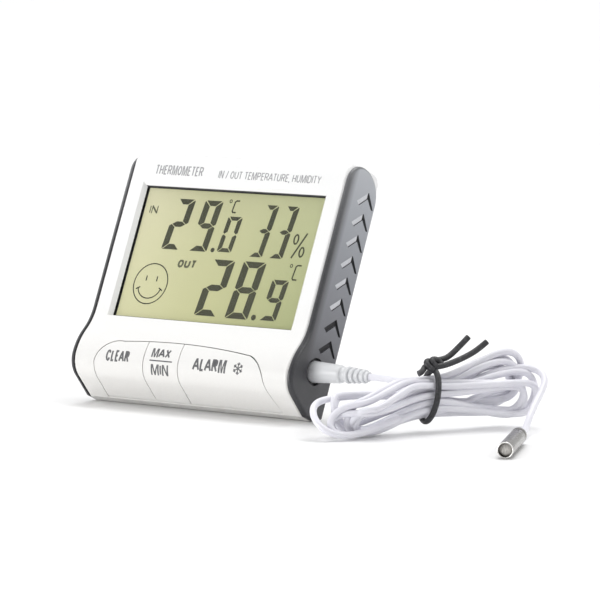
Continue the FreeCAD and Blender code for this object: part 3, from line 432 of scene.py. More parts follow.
def drawn_steel_painted_reflection():
    """Drawn tube, brushed along its length, with faint tarnish; its colour is a painted reflection, darker
    than bare steel as a dim room would make it, and darker still on faces that point up or down.
    """
    paint = Paint("drawn_steel_painted_reflection", (0.2, 0.19, 0.175), 0.22, 1.0)
    brushed = paint.noise(300.0, 4.0, stretch=(5.0, 1.0, 5.0))
    tarnish = paint.spread(paint.noise(90.0, 3.0), 0, 1, 0.4, 0.75)
    # Painted reflection: faces that point up or down are darker.
    upright = paint.spread(paint.facing("Z"), 0, 1, 0.1, 0.75)
    sides = paint.blend(tarnish, (0.26, 0.25, 0.235), (0.19, 0.182, 0.17))
    paint.colour(paint.blend(upright, sides, (0.16, 0.152, 0.143)))
    paint.roughness(paint.spread(brushed, 0.16, 0.28, 0.3, 0.7))
    return paint.bump(brushed, 0.03).material


def plated(name, colour, roughness=0.25):
    """Plated metal with light scratches."""
    paint = Paint(name, colour, roughness, 1.0)
    scratch = paint.noise(420.0, 4.0, stretch=(1.0, 7.0, 1.0))
    paint.colour(paint.blend(paint.spread(scratch, 0, 1, 0.35, 0.7), *tones(colour, 0.12)))
    return paint.roughness(paint.spread(scratch, roughness * 0.7, roughness * 1.5, 0.3, 0.7)).material


def circuit_green():
    """Solder mask over a net of copper tracks."""
    paint = Paint("circuit_green", (0.03, 0.16, 0.06), 0.3)
    bricks = paint.node("ShaderNodeTexBrick")
    bricks.inputs["Scale"].default_value = 220.0
    bricks.inputs["Mortar Size"].default_value = 0.03
    turn = paint.node("ShaderNodeMapping")
    turn.inputs["Rotation"].default_value = (math.radians(90), 0, 0)
    paint.feed(turn.inputs["Vector"], paint.place)
    paint.feed(bricks.inputs["Vector"], turn.outputs["Vector"])
    paint.colour(paint.blend(bricks.outputs["Fac"], (0.02, 0.13, 0.05), (0.07, 0.24, 0.08)))
    return paint.bump(bricks.outputs["Fac"], 0.3).material


def layered_rubber():
    """Contact strip of thin conducting and insulating layers."""
    paint = Paint("layered_rubber", (0.5, 0.3, 0.34), 0.6)
    wave = paint.node("ShaderNodeTexWave")
    wave.inputs["Scale"].default_value = 900.0
    paint.feed(wave.inputs["Vector"], paint.place)
    return paint.colour(paint.blend(wave.outputs["Fac"], (0.06, 0.05, 0.05), (0.6, 0.4, 0.44))).material


def battery_sleeve():
    """Shrink sleeve in two plain bands with no print."""
    paint = Paint("battery_sleeve", (0.1, 0.16, 0.3), 0.3, 0.4)
    up = paint.axis(UPWARDS, 0.018, 0.064)
    band = paint.spread(up, 0, 1, 0.7, 0.705)
    tone = paint.blend(band, (0.02, 0.03, 0.06), (0.55, 0.36, 0.12))
    cloud = paint.spread(paint.noise(300.0), 0, 0.3, 0.3, 0.7)
    return paint.colour(paint.blend(cloud, tone, (0.2, 0.2, 0.2))).material


# The shell's and the grip's tones paint shade and light into their colours.
SHELL = moulded("shell_white", (0.84, 0.84, 0.84), 0.25, grain=5200.0, strength=0.015, tone=shell_patches_and_belly_shade,
                coat_weight=0.2, coat_roughness=0.1)
GRIP = moulded("grip_grey", (0.2, 0.2, 0.22), 0.36, grain=1100.0, strength=0.05, tone=grip_painted_shading)
CORD = cord_vinyl()
PLUG = moulded("plug_vinyl", (0.69, 0.7, 0.715), 0.34, grain=1300.0)
TIE = tie_black()
STEEL = drawn_steel_painted_reflection()
INK = display_ink("display_ink", (0.066, 0.069, 0.034))
FACE_INK = display_ink("comfort_ink", (0.012, 0.013, 0.007))
WORD_INK = display_ink("display_word_ink", (0.15, 0.155, 0.09))
PRINT = printed_ink("print_grey", (0.095, 0.095, 0.1), (0.19, 0.19, 0.195))
PALE_PRINT = printed_ink("print_pale", (0.3, 0.3, 0.31), (0.45, 0.45, 0.46))
BLACK = moulded("moulded_black", (0.028, 0.028, 0.03), 0.42, share=0.15)
# Painted shade and painted light for the floors of the arrow grooves.
GROOVE_SHADE = moulded("groove_painted_shade", (0.012, 0.012, 0.014), 0.6, share=0.1)
GROOVE_LIGHT = moulded("groove_painted_light", (0.6, 0.61, 0.64), 0.3, share=0.05)
# Painted highlight: the rolled rim has a much lighter steel than the tube.
RIM_STEEL_HIGHLIGHT = plated("rim_steel_highlight", (0.82, 0.81, 0.79), 0.45)
BEAD_STEEL = plated("bead_steel", (0.68, 0.66, 0.63), 0.5)
SEAL = moulded("seal_resin", (0.62, 0.62, 0.63), 0.35, share=0.05)
NODE_MATERIALS = {
    "front_cover": SHELL, "rear_cover": SHELL, "side_grip_left": GRIP, "side_grip_right": GRIP,
    "lcd_window": display_pane(), "lcd_panel": display_face(),
    "lcd_rails": moulded("rail_white", (0.7, 0.7, 0.68), 0.45), "zebra_strips": layered_rubber(),
    "main_board": circuit_green(), "chip_blob": moulded("resin_black", (0.02, 0.02, 0.02), 0.15),
    "tact_switches": BLACK, "buzzer": BLACK,
    "humidity_sensor": moulded("sensor_white", (0.75, 0.75, 0.72), 0.5),
    "room_thermistor": moulded("bead_black", (0.03, 0.03, 0.03), 0.2), "jack_socket": BLACK,
    "battery_cell": battery_sleeve(), "battery_spring": plated("spring_nickel", (0.62, 0.6, 0.57)),
    "battery_plate": plated("plate_nickel", (0.62, 0.6, 0.57)),
    "battery_wires": moulded("wire_red", (0.5, 0.04, 0.03), 0.4),
    "case_screws": plated("screw_zinc", (0.5, 0.5, 0.51)),
    "board_screws": plated("screw_zinc_small", (0.5, 0.5, 0.51)),
    "clear_key": SHELL, "max_min_key": SHELL, "alarm_key": SHELL, "unit_key": BLACK, "battery_door": SHELL,
    "kickstand": SHELL, "plug_pin": plated("pin_nickel", (0.66, 0.62, 0.52), 0.18),
}


def paint_nodes():
    for name, material in NODE_MATERIALS.items():
        nodes[name].data.materials.clear()
        nodes[name].data.materials.append(material)


# -------- mesh building
SHARPEST_MITRE = 0.4


def finish_mesh(name, bm, material, body, smooth_angle=None):
    """Turns a bmesh in the row frame into a piece that rides on a body."""
    bmesh.ops.recalc_face_normals(bm, faces=bm.faces)
    mesh = bpy.data.meshes.new(name)
    bm.to_mesh(mesh)
    bm.free()
    if smooth_angle:
        mesh.polygons.foreach_set("use_smooth", [True] * len(mesh.polygons))
        mesh.set_sharp_from_angle(angle=math.radians(smooth_angle))
    mesh.materials.append(material)
    obj = add_object(name, mesh)
    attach(obj, body)
    return obj


def lathe(bm, profile, start, axis, segments):
    """Turns a profile of (distance along the axis, radius) round an axis; its ends close on the axis."""
    axis = Vector(axis).normalized()
    side = axis.orthogonal().normalized()
    other = axis.cross(side)
    turn = [2 * math.pi * i / segments for i in range(segments)]
    spokes = [side * math.cos(a) + other * math.sin(a) for a in turn]
    rings = []
    for distance, radius in profile:
        centre = Vector(start) + axis * (distance * MM)
        if radius == 0:
            rings.append([bm.verts.new(centre)])
            continue
        rings.append([bm.verts.new(centre + spoke * (radius * MM)) for spoke in spokes])
    for one, two in zip(rings, rings[1:]):
        for i in range(segments):
            j = (i + 1) % segments
            corners = [one[i % len(one)], one[j % len(one)], two[j % len(two)], two[i % len(two)]]
            unique = list(dict.fromkeys(corners))
            if len(unique) > 2:
                bm.faces.new(unique)


def prism(bm, outline, place, low, high):
    """A closed plate over an outline of (a, b) points; place(a, b, w) gives a point at level w."""
    bottom = [bm.verts.new(place(a, b, low)) for a, b in outline]
    top = [bm.verts.new(place(a, b, high)) for a, b in outline]
    bm.faces.new(top)
    bm.faces.new(bottom[::-1])
    for i in range(len(outline)):
        j = (i + 1) % len(outline)
        bm.faces.new([bottom[i], bottom[j], top[j], top[i]])


def stroke_outline(points, width):
    """Outline of a line of a given width through points, mitred where it bends."""
    points = [Vector(p) for p in points]
    last = len(points) - 1
    sides = []
    for i, here in enumerate(points):
        before = points[i - 1] if i > 0 else here - (points[1] - here)
        after = points[i + 1] if i < last else here + (here - before)
        one, two = (here - before).normalized(), (after - here).normalized()
        middle = (one + two).normalized()
        normal = Vector((-middle.y, middle.x))
        reach = width / 2 / max(normal.dot(Vector((-one.y, one.x))), SHARPEST_MITRE)
        sides.append((here + normal * reach, here - normal * reach))
    return [s[0] for s in sides] + [s[1] for s in reversed(sides)]


def arc(x, y, radius_x, radius_y, start, end, count):
    angles = [math.radians(start + (end - start) * i / (count - 1)) for i in range(count)]
    return [(x + radius_x * math.cos(a), y + radius_y * math.sin(a)) for a in angles]


def ring(bm, place, x, y, radius_x, radius_y, width, low, high, count):
    """A flat closed ring as one ring-shaped plate."""
    loops = []
    for grow in (width / 2, -width / 2):
        for level in (low, high):
            loop = arc(x, y, radius_x + grow, radius_y + grow, 0, 360 - 360 / count, count)
            loops.append([bm.verts.new(place(a, b, level)) for a, b in loop])
    outer_low, outer_high, inner_low, inner_high = loops
    for i in range(count):
        j = (i + 1) % count
        for one, two in ((outer_low, outer_high), (outer_high, inner_high), (inner_high, inner_low),
                         (inner_low, outer_low)):
            bm.faces.new([one[i], one[j], two[j], two[i]])


# -------- display contents
LCD_FRONT = 2.7
INK_LEVELS = (0.02, 0.06)


def lcd_place(x, up, level):
    """A point level millimetres in front of the display's face."""
    return case(x, LCD_FRONT - level, up)


def ink(bm, outline):
    """Adds a plate of display ink."""
    prism(bm, outline, lcd_place, *INK_LEVELS)


def ink_ring(bm, x, up, radius_x, radius_up, width, count):
    ring(bm, lcd_place, x, up, radius_x, radius_up, width, *INK_LEVELS, count)


SEGMENTS = {"0": "abcdef", "2": "abged", "3": "abgcd", "8": "abcdefg", "9": "abcdfg"}


def seven_segments(digit, x, up, width, height, stem, bar):
    """Outlines of a digit's lit segments with mitred ends; stem and bar are their thicknesses, g the gap."""
    half, g, slant = height / 2, 0.22, 0.104
    shapes = {
        "a": [(g + 0.5, height), (width - g - 0.5, height), (width - stem - g, height - bar),
              (stem + g, height - bar)],
        "d": [(g + 0.3, 0), (stem + g, bar), (width - stem - g, bar), (width - g - 0.3, 0)],
        "g": [(stem * 0.35 + g, half), (stem + g, half + bar * 0.5), (width - stem - g, half + bar * 0.5),
              (width - stem * 0.35 - g, half), (width - stem - g, half - bar * 0.5),
              (stem + g, half - bar * 0.5)],
        "f": [(0, height - g - 0.5), (0.25, height - g - 0.1), (stem, height - bar - g),
              (stem, half + bar * 0.5 + g), (stem * 0.35, half + g * 0.6), (0, half + g + 0.5)],
        "e": [(0, g + 0.4), (0, half - g - 0.5), (stem * 0.35, half - g * 0.6),
              (stem, half - bar * 0.5 - g), (stem, bar + g), (0.25, g)],
    }
    shapes["b"] = [(width - a, b) for a, b in shapes["f"]]
    shapes["c"] = [(width - a, b) for a, b in shapes["e"]]
    return [[(x + a + b * slant, up + b) for a, b in shapes[name]] for name in SEGMENTS[digit]]


def celsius(bm, x, up, width, height):
    """A small raised ring and a square-cornered C."""
    ink_ring(bm, x - 1.7, up + height - 0.3, 0.55, 0.6, 0.35, 20)
    lean = 0.1
    line = [(width, height), (0.7, height), (0.15, height - 0.5), (0.0, 0.6), (0.5, 0.0), (width - 0.2, 0.0)]
    ink(bm, stroke_outline([(x + a + b * lean, up + b) for a, b in line], 0.62))


def percent(bm, x, up):
    ink_ring(bm, x + 2.0, up + 7.6, 1.0, 1.85, 0.7, 32)
    ink_ring(bm, x + 6.0, up + 2.6, 1.0, 1.85, 0.7, 32)
    ink(bm, stroke_outline([(x + 1.7, up), (x + 6.7, up + 10.3)], 0.75))


def comfort_face(bm, x, up, radius):
    """A plain round face: two short eye strokes and a smile between two cheek ticks."""
    ink_ring(bm, x, up, radius, radius, 0.42, 72)
    for side in (-1, 1):
        eye = [(x + side * 2.65, up + 1.1), (x + side * 2.65, up + 3.2)]
        cheek = [(x + side * 6.6, up - 2.5), (x + side * 4.7, up - 1.5)]
        ink(bm, stroke_outline(eye, 0.48))
        ink(bm, stroke_outline(cheek, 0.48))
    ink(bm, stroke_outline(arc(x, up - 1.0, 5.7, 5.0, 190, 350, 28), 0.42))


def display_contents():
    bm = bmesh.new()
    # digit, left foot, foot, width, height, thickness of its uprights and of its bars
    rows = [("2", -30.1, 60.1, 8.9, 21.0, 2.9, 2.2), ("9", -16.3, 60.1, 8.9, 21.0, 2.9, 2.2),
            ("0", -2.4, 60.5, 7.1, 14.6, 2.0, 1.6), ("3", 13.6, 59.4, 6.6, 21.3, 2.4, 1.8),
            ("3", 23.5, 59.4, 6.6, 21.3, 2.4, 1.8), ("2", -5.3, 34.3, 11.0, 23.0, 3.3, 2.5),
            ("8", 9.9, 34.1, 11.1, 23.3, 3.3, 2.5), ("9", 26.6, 34.4, 8.0, 16.5, 2.3, 1.9)]
    for digit, x, up, width, height, stem, bar in rows:
        for outline in seven_segments(digit, x, up, width, height, stem, bar):
            ink(bm, outline)
    for x, up, radius in ((-4.5, 61.0, 0.95), (23.8, 35.2, 1.15)):
        ink(bm, arc(x, up, radius, radius, 0, 340, 18))
    celsius(bm, 0.0, 76.8, 2.2, 4.8)
    celsius(bm, 37.2, 51.4, 2.5, 5.8)
    percent(bm, 32.5, 60.0)
    finish_mesh("display_segments", bm, INK, "case")
    bm = bmesh.new()
    comfort_face(bm, -30.65, 45.5, 8.3)
    finish_mesh("display_comfort_face", bm, FACE_INK, "case")
    bm = bmesh.new()
    write(bm, "IN", (-41.0, -36.9), (74.4, 77.6), 0.42, lcd_place)
    write(bm, "OUT", (-19.9, -10.9), (52.9, 56.3), 0.85, lcd_place, slant=0.12)
    finish_mesh("display_words", bm, WORD_INK, "case")


# Letters as lines in a unit box; M and N are plates, in letter_plates. The widths and LETTER_GAP are shares
# of one measure that write() fits to the text's box, and an A's neighbours stand closer by A_OVERLAP.
BOWL = [(0, 1), (0.62, 1), (0.9, 0.92), (1, 0.75), (0.9, 0.57), (0.62, 0.48), (0, 0.48)]
LETTERS = {
    "A": [[(0, 0), (0.5, 1.04)], [(1, 0), (0.5, 1.04)], [(0.2, 0.33), (0.8, 0.33)]],
    "C": [[(0.98, 0.76), (0.84, 0.93), (0.55, 1), (0.24, 0.93), (0.05, 0.72), (0, 0.5), (0.05, 0.28),
           (0.24, 0.07), (0.55, 0), (0.84, 0.07), (0.98, 0.26)]],
    "D": [[(0.5, 1), (0, 1), (0, 0), (0.5, 0), (0.84, 0.1), (1, 0.36), (1, 0.64), (0.84, 0.9), (0.48, 1)]],
    "E": [[(1, 1), (0, 1), (0, 0), (1, 0)], [(0, 0.52), (0.85, 0.52)]],
    "H": [[(0, 0), (0, 1)], [(1, 0), (1, 1)], [(0, 0.5), (1, 0.5)]],
    "I": [[(0.5, 0), (0.5, 1)]],
    "L": [[(0, 1), (0, 0), (1, 0)]],
    "O": [[(0.5, 1), (0.2, 0.92), (0, 0.65), (0, 0.35), (0.2, 0.08), (0.5, 0), (0.8, 0.08), (1, 0.35),
           (1, 0.65), (0.8, 0.92), (0.48, 1)]],
    "P": [[(0, 0)] + BOWL],
    "R": [[(0, 0)] + BOWL, [(0.55, 0.48), (1, 0)]],
    "T": [[(0, 1), (1, 1)], [(0.5, 1), (0.5, 0)]],
    "U": [[(0, 1), (0, 0.33), (0.16, 0.07), (0.5, 0), (0.84, 0.07), (1, 0.33), (1, 1)]],
    "X": [[(0, 0), (1, 1)], [(0, 1), (1, 0)]],
    "Y": [[(0, 1), (0.5, 0.48), (1, 1)], [(0.5, 0.5), (0.5, 0)]],
    "/": [[(0, -0.05), (1, 1.05)]],
    ",": [[(0.6, 0.04), (0.4, -0.2)]],
}
LETTER_WIDTHS = {"I": 0.12, "M": 0.74, "E": 0.46, "L": 0.44, "T": 0.52, "/": 0.34, ",": 0.15, " ": 0.2,
                 "A": 0.72}
OTHER_WIDTH = 0.58
LETTER_GAP, A_OVERLAP = 0.085, 0.07
OVERLAP_LIFT = 0.0015


def letter_plates(letter, width, height, stroke):
    """Outlines of one letter, whose strokes lie inside a box of the width and height."""
    if letter == "M":
        middle, shoulder = width / 2, stroke * 1.35
        return [[(0, 0), (0, height), (shoulder, height), (middle, height * 0.3), (width - shoulder, height),
                 (width, height), (width, 0), (width - stroke, 0), (width - stroke, height * 0.74),
                 (middle + stroke * 0.4, 0), (middle - stroke * 0.4, 0), (stroke, height * 0.74),
                 (stroke, 0)]]
    if letter == "N":
        shoulder = stroke * 1.15
        return [[(0, 0), (0, height), (shoulder, height), (width - stroke, height * 0.3),
                 (width - stroke, height), (width, height), (width, 0), (width - shoulder, 0),
                 (stroke, height * 0.7), (stroke, 0)]]
    plates = []
    for line in LETTERS.get(letter, []):
        inside = [(stroke / 2 + a * (width - stroke), stroke / 2 + b * (height - stroke)) for a, b in line]
        plates.append(stroke_outline(inside, stroke))
    return plates


def write(bm, text, across, up, stroke, place, slant=0.0, levels=INK_LEVELS, step=None):
    """Adds a line of capitals that fills a box in millimetres; the strokes that cross differ in level."""
    low, high = levels
    height = up[1] - up[0]
    widths = [LETTER_WIDTHS.get(letter, OTHER_WIDTH) for letter in text]
    scale = (across[1] - across[0]) / (sum(widths) + LETTER_GAP * (len(text) - 1))
    start = across[0]
    for i, (letter, width) in enumerate(zip(text, widths)):
        for j, plate in enumerate(letter_plates(letter, width * scale, height, stroke)):
            outline = [(start + a + b * slant, up[0] + b) for a, b in plate]
            piece = bmesh.new()
            prism(piece, outline, lambda a, b, w: Vector((a, b, w)), low, high + OVERLAP_LIFT * (j % 3))
            if step:
                slice_up(piece, up[0], up[1], step)
            pairs = {v: bm.verts.new(place(*v.co)) for v in piece.verts}
            for face in piece.faces:
                bm.faces.new([pairs[v] for v in face.verts])
            piece.free()
        overlap = A_OVERLAP if "A" in text[i:i + 2] else 0.0
        start += (width + LETTER_GAP - overlap) * scale


# -------- print on the case and the keys
BELLY_DEPTH, BELLY_START, BELLY_TOP, BELLY_RADIUS = 5.0, 13.5, 34.0, 9.5
BELLY_STEP = 0.6
TEXT_LEVELS, RULE_LEVELS = (0.005, 0.02), (0.005, 0.025)


def front_depth(up):
    """Depth of the front face at a height: flat above, a double bend, then the belly's round."""
    rise, run = (BELLY_TOP - BELLY_START) / 2, BELLY_DEPTH / 2
    bend = (rise * rise + run * run) / (2 * run)
    if up >= BELLY_TOP:
        return 0.0
    if up > BELLY_START + rise:
        return -bend + math.sqrt(bend ** 2 - (BELLY_TOP - up) ** 2)
    if up > BELLY_START:
        return -BELLY_DEPTH + bend - math.sqrt(bend ** 2 - (up - BELLY_START) ** 2)
    return BELLY_RADIUS - BELLY_DEPTH - math.sqrt(BELLY_RADIUS ** 2 - (BELLY_START - up) ** 2)


def surface_place(x, up, level):
    """A point level millimetres proud of the front face."""
    return case(x, front_depth(up) - level, up)


def slice_up(bm, low, high, step):
    """Cuts every face at regular heights, so that it can follow a curved face."""
    for i in range(1, int((high - low) / step) + 1):
        geometry = bm.verts[:] + bm.edges[:] + bm.faces[:]
        bmesh.ops.bisect_plane(bm, geom=geometry, plane_co=(0, low + i * step, 0), plane_no=(0, 1, 0))


def printed_text(name, text, across, up, stroke, body, material=PRINT):
    bm = bmesh.new()
    step = BELLY_STEP if up[0] < BELLY_TOP else None
    write(bm, text, across, up, stroke, surface_place, levels=TEXT_LEVELS, step=step)
    finish_mesh(name, bm, material, body)


def printed_lines(name, lines, width, body):
    """Straight printed strokes, cut short enough to follow the belly."""
    bm = bmesh.new()
    for start, end in lines:
        steps = max(2, int((Vector(end) - Vector(start)).length / BELLY_STEP) + 1)
        points = [Vector(start).lerp(Vector(end), i / steps) for i in range(steps + 1)]
        outline = stroke_outline(points, width)
        for i in range(steps):
            quad = [outline[i], outline[i + 1], outline[-2 - i], outline[-1 - i]]
            prism(bm, quad, surface_place, *RULE_LEVELS)
    bmesh.ops.remove_doubles(bm, verts=bm.verts, dist=1e-7)
    finish_mesh(name, bm, PRINT, body)


def frost_flake(x, up, radius):
    """Six arms, each with a small fork near its end."""
    lines = []
    for i in range(6):
        angle = math.radians(30 + 60 * i)
        arm = Vector((math.cos(angle), math.sin(angle)))
        lines.append(((x, up), (x + arm.x * radius, up + arm.y * radius)))
        root = Vector((x, up)) + arm * radius * 0.58
        for turn in (-50, 50):
            fork = Vector((math.cos(angle + math.radians(turn)), math.sin(angle + math.radians(turn))))
            lines.append((tuple(root), tuple(root + fork * radius * 0.36)))
    return lines


def lettering():
    printed_text("caption_print", "IN / OUT TEMPERATURE, HUMIDITY", (-9.0, 41.5), (89.6, 92.8), 0.42, "case",
                 PALE_PRINT)
    printed_text("title_print", "THERMOMETER", (-41.0, -17.0), (89.8, 93.8), 0.55, "case", PALE_PRINT)
    printed_text("clear_print", "CLEAR", (-36.6, -24.4), (10.8, 15.4), 0.8, "clear_key")
    printed_text("max_print", "MAX", (-14.3, -4.4), (13.9, 17.6), 0.75, "max_min_key")
    printed_text("min_print", "MIN", (-13.6, -5.0), (7.4, 11.2), 0.75, "max_min_key")
    printed_lines("max_min_rule", [((-14.6, 12.6), (-3.4, 12.6))], 0.5, "max_min_key")
    printed_text("alarm_print", "ALARM", (6.8, 24.0), (10.2, 15.3), 0.88, "alarm_key")
    printed_lines("frost_print", frost_flake(28.9, 12.5, 2.4), 0.48, "alarm_key")


# -------- arrow inlays in the side grips: painted shade and light on their groove floors
ARROW_COUNT, ARROW_FIRST, ARROW_PITCH, ARROW_IN, ARROW_DEEP = 8, 31.6, 8.575, 13.6, 0.7
# The lowest arrows are wholly painted shade; the painted shade floors are thin, the painted light floors
# thicker.
SHADED_ARROWS = 2
SHADE_THICK, LIGHT_THICK = 0.05, 0.3


def arrow_inlays():
    """Painted shade and light on the floors of the arrow grooves: dark as shade, but for the front arms of
    all arrows above the lowest two, painted light as if lit.
    """
    front_arm = [(0.0, -0.15), (0.05, -2.5), (-4.25, -6.4), (-5.95, -5.5)]
    rear_arm = [(0.1, -0.25), (4.8, -5.6), (3.85, -5.75), (0.15, -2.5)]
    for side, body_side in ((-1, "left"), (1, "right")):
        def place(depth, up, level, side=side):
            return case(side * (GRIP_FACE - ARROW_DEEP + level), depth, up)
        dark, bright = bmesh.new(), bmesh.new()
        for i in range(ARROW_COUNT):
            apex = ARROW_FIRST + i * ARROW_PITCH
            # Painted light on the front arms of the upper arrows; painted shade on all the rest.
            front = (dark, front_arm, SHADE_THICK) if i < SHADED_ARROWS else (bright, front_arm, LIGHT_THICK)
            for bm, arm, thick in (front, (dark, rear_arm, SHADE_THICK)):
                prism(bm, [(ARROW_IN + a, apex + b) for a, b in arm], place, 0.0, thick)
        finish_mesh(f"arrow_floor_shade_{body_side}", dark, GROOVE_SHADE, "case")
        finish_mesh(f"arrow_floor_light_{body_side}", bright, GROOVE_LIGHT, "case")


# -------- display surround
SURROUND_X, SURROUND_LOW, SURROUND_HIGH = 45.2, 29.6, 86.2
SURROUND_LEVELS = (0.01, 0.07)


def surround_bar(bm, across, up):
    """A thin bar in front of the display, between two values of x and two heights."""
    (left, right), (low, high) = across, up
    outline = [(left, low), (right, low), (right, high), (left, high)]
    prism(bm, outline, lcd_place, *SURROUND_LEVELS)


def display_surround():
    """The black edge inside the opening, a black strip on the top wall over it that paints the shadow there,
    and two fine lines along its foot.
    """
    bm = bmesh.new()
    surround_bar(bm, (-SURROUND_X, SURROUND_X), (SURROUND_HIGH - 1.35, SURROUND_HIGH))
    surround_bar(bm, (-SURROUND_X, SURROUND_X), (SURROUND_LOW, SURROUND_LOW + 1.45))
    surround_bar(bm, (-SURROUND_X, -SURROUND_X + 1.55), (SURROUND_LOW, SURROUND_HIGH))
    surround_bar(bm, (SURROUND_X - 1.2, SURROUND_X), (SURROUND_LOW, SURROUND_HIGH))
    finish_mesh("display_gasket", bm, BLACK, "case")
    bm = bmesh.new()
    # Painted shadow: a black strip on the top wall of the opening, where the wall is in shade.
    lip = [(1.1, 85.32), (1.5, 84.92), (1.56, 84.98), (1.16, 85.38)]
    prism(bm, lip, lambda depth, up, x: case(x, depth, up), -44.9, 44.9)
    finish_mesh("display_wall_shadow", bm, BLACK, "case")
    bm = bmesh.new()
    surround_bar(bm, (-SURROUND_X, SURROUND_X), (31.0, 31.4))
    finish_mesh("display_edge_light", bm, SHELL, "case")
    bm = bmesh.new()
    surround_bar(bm, (-SURROUND_X, SURROUND_X), (31.4, 31.55))
    finish_mesh("display_edge_dark", bm, INK, "case")


def jack_seat():
    """The dark seat round the jack, sunk in the side grip."""
    sunk, bore, edge, thick = 1.65, 2.3, 5.2, 0.3
    bm = bmesh.new()
    profile = [(0, bore), (0, edge), (thick - 0.06, edge), (thick, edge - 0.1), (thick, bore), (0, bore)]
    lathe(bm, profile, case(GRIP_FACE - sunk, JACK_IN, JACK_UP), (1, 0, 0), 64)
    finish_mesh("jack_seat", bm, BLACK, "case")


# -------- sensor lead pieces
def plug_pieces():
    """The moulded barrel and its ribbed strain relief, both turned about the plug's axis."""
    root = plug_root()
    low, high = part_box("plug_barrel")
    length = (high.x - low.x) / MM
    start = Vector((low.x, root.y, root.z))
    big, small = 4.2, 3.5
    bm = bmesh.new()
    profile = [(0, 0), (0, big - 0.5), (0.15, big - 0.2), (0.5, big)]
    profile += [(0.5 + (length - 1.7) * s, big + (small - big) * s) for s in (0.33, 0.66, 1.0)]
    profile += [(length - 0.75, small - 0.12), (length - 0.35, small - 0.4), (length - 0.1, small - 0.8),
                (length, small - 1.2), (length, 0)]
    lathe(bm, profile, start, (1, 0, 0), 72)
    barrel = finish_mesh("plug_body", bm, PLUG, "sensor_lead", 50)
    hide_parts("plug_barrel")

    low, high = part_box("plug_boot")
    start = Vector((low.x, root.y, root.z))
    length = (high.x - low.x) / MM
    count, pitch, width, first_radius, step, core = 4, 2.4, 1.45, 3.3, 0.2, 2.3
    profile = [(0, 0), (0, core + 0.6), (0.5, core + 0.25), (1.4, core)]
    for i in range(count):
        near = 2.0 + i * pitch
        radius = first_radius - step * i
        inner = core - 0.12 * i + 0.1
        profile += [(near, inner), (near + 0.02, radius - 0.3), (near + 0.14, radius - 0.08),
                    (near + 0.35, radius), (near + width - 0.4, radius - 0.04),
                    (near + width - 0.15, radius - 0.14), (near + width, radius - 0.4),
                    (near + width + 0.04, inner)]
    profile += [(length - 0.25, 1.9), (length, 1.6), (length, 0)]
    bm = bmesh.new()
    lathe(bm, profile, start, (1, 0, 0), 72)
    boot = finish_mesh("plug_relief", bm, PLUG, "sensor_lead", 40)
    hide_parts("plug_boot")
    return [barrel, boot, nodes["plug_pin"]]


PROBE_TIP_MM = Vector((168.5, -52.0, 3.05))
PROBE_LENGTH, PROBE_RADIUS = 40.0, 3.0


def probe_pieces():
    """A thin drawn tube crimped at its root, with a rolled rim and a sunk bead at its end, and its seal."""
    start = Vector(TAIL_POINTS_MM[-1]) * MM
    axis = (PROBE_TIP_MM * MM - start).normalized()
    length, radius = PROBE_LENGTH, PROBE_RADIUS

    def turned(name, profile, material, segments):
        bm = bmesh.new()
        lathe(bm, profile, start, axis, segments)
        return finish_mesh(name, bm, material, "sensor_lead", 35)

    tube = [(0.0, 0), (0.0, 1.5), (0.02, 2.2), (0.3, 2.7), (0.9, 2.92), (2.4, radius), (4.2, radius),
            (4.6, 2.86), (5.6, 2.86), (6.0, radius)]
    tube += [(6.0 + (length - 6.6) * s, radius) for s in (0.2, 0.4, 0.6, 0.8, 1.0)]
    tube += [(length - 0.45, radius - 0.01), (length - 0.45, radius - 0.3), (length - 2.0, radius - 0.5),
             (length - 2.4, radius - 0.5), (length - 2.4, 0)]
    sleeve = turned("probe_tube", tube, STEEL, 72)
    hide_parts("probe_sleeve")
    roll = [(length - 0.5, radius - 0.4), (length - 0.5, radius - 0.02), (length - 0.2, radius),
            (length - 0.05, radius - 0.1), (length, radius - 0.25), (length - 0.08, radius - 0.4),
            (length - 0.3, radius - 0.48), (length - 0.5, radius - 0.4)]
    # The rim's light steel is a painted highlight.
    rim = turned("probe_rim", roll, RIM_STEEL_HIGHLIGHT, 72)
    sunk = [(length - 2.5, 0), (length - 2.5, radius - 0.55), (length - 1.9, radius - 0.62),
            (length - 1.6, radius - 1.2), (length - 1.5, 0)]
    bead = turned("probe_bead", sunk, BEAD_STEEL, 48)
    neck = [(-0.9, 0), (-0.9, 1.3), (-0.7, 1.75), (-0.1, 1.95), (0.05, 1.95), (0.05, 0)]
    seal = turned("probe_seal", neck, SEAL, 40)
    return [sleeve, seal, rim, bead]


TIE_RADIUS_MM = 1.12


def tie_curve(name, points, closed=False):
    """A round wire tie along a smooth line through hank points (along, across, height)."""
    tie = cord_curve(name, [hank_point(*point) for point in points], TIE_RADIUS_MM * MM, 4, closed, (6, 10))
    tie.data.materials.append(TIE)
    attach(tie, "sensor_lead")
    return tie


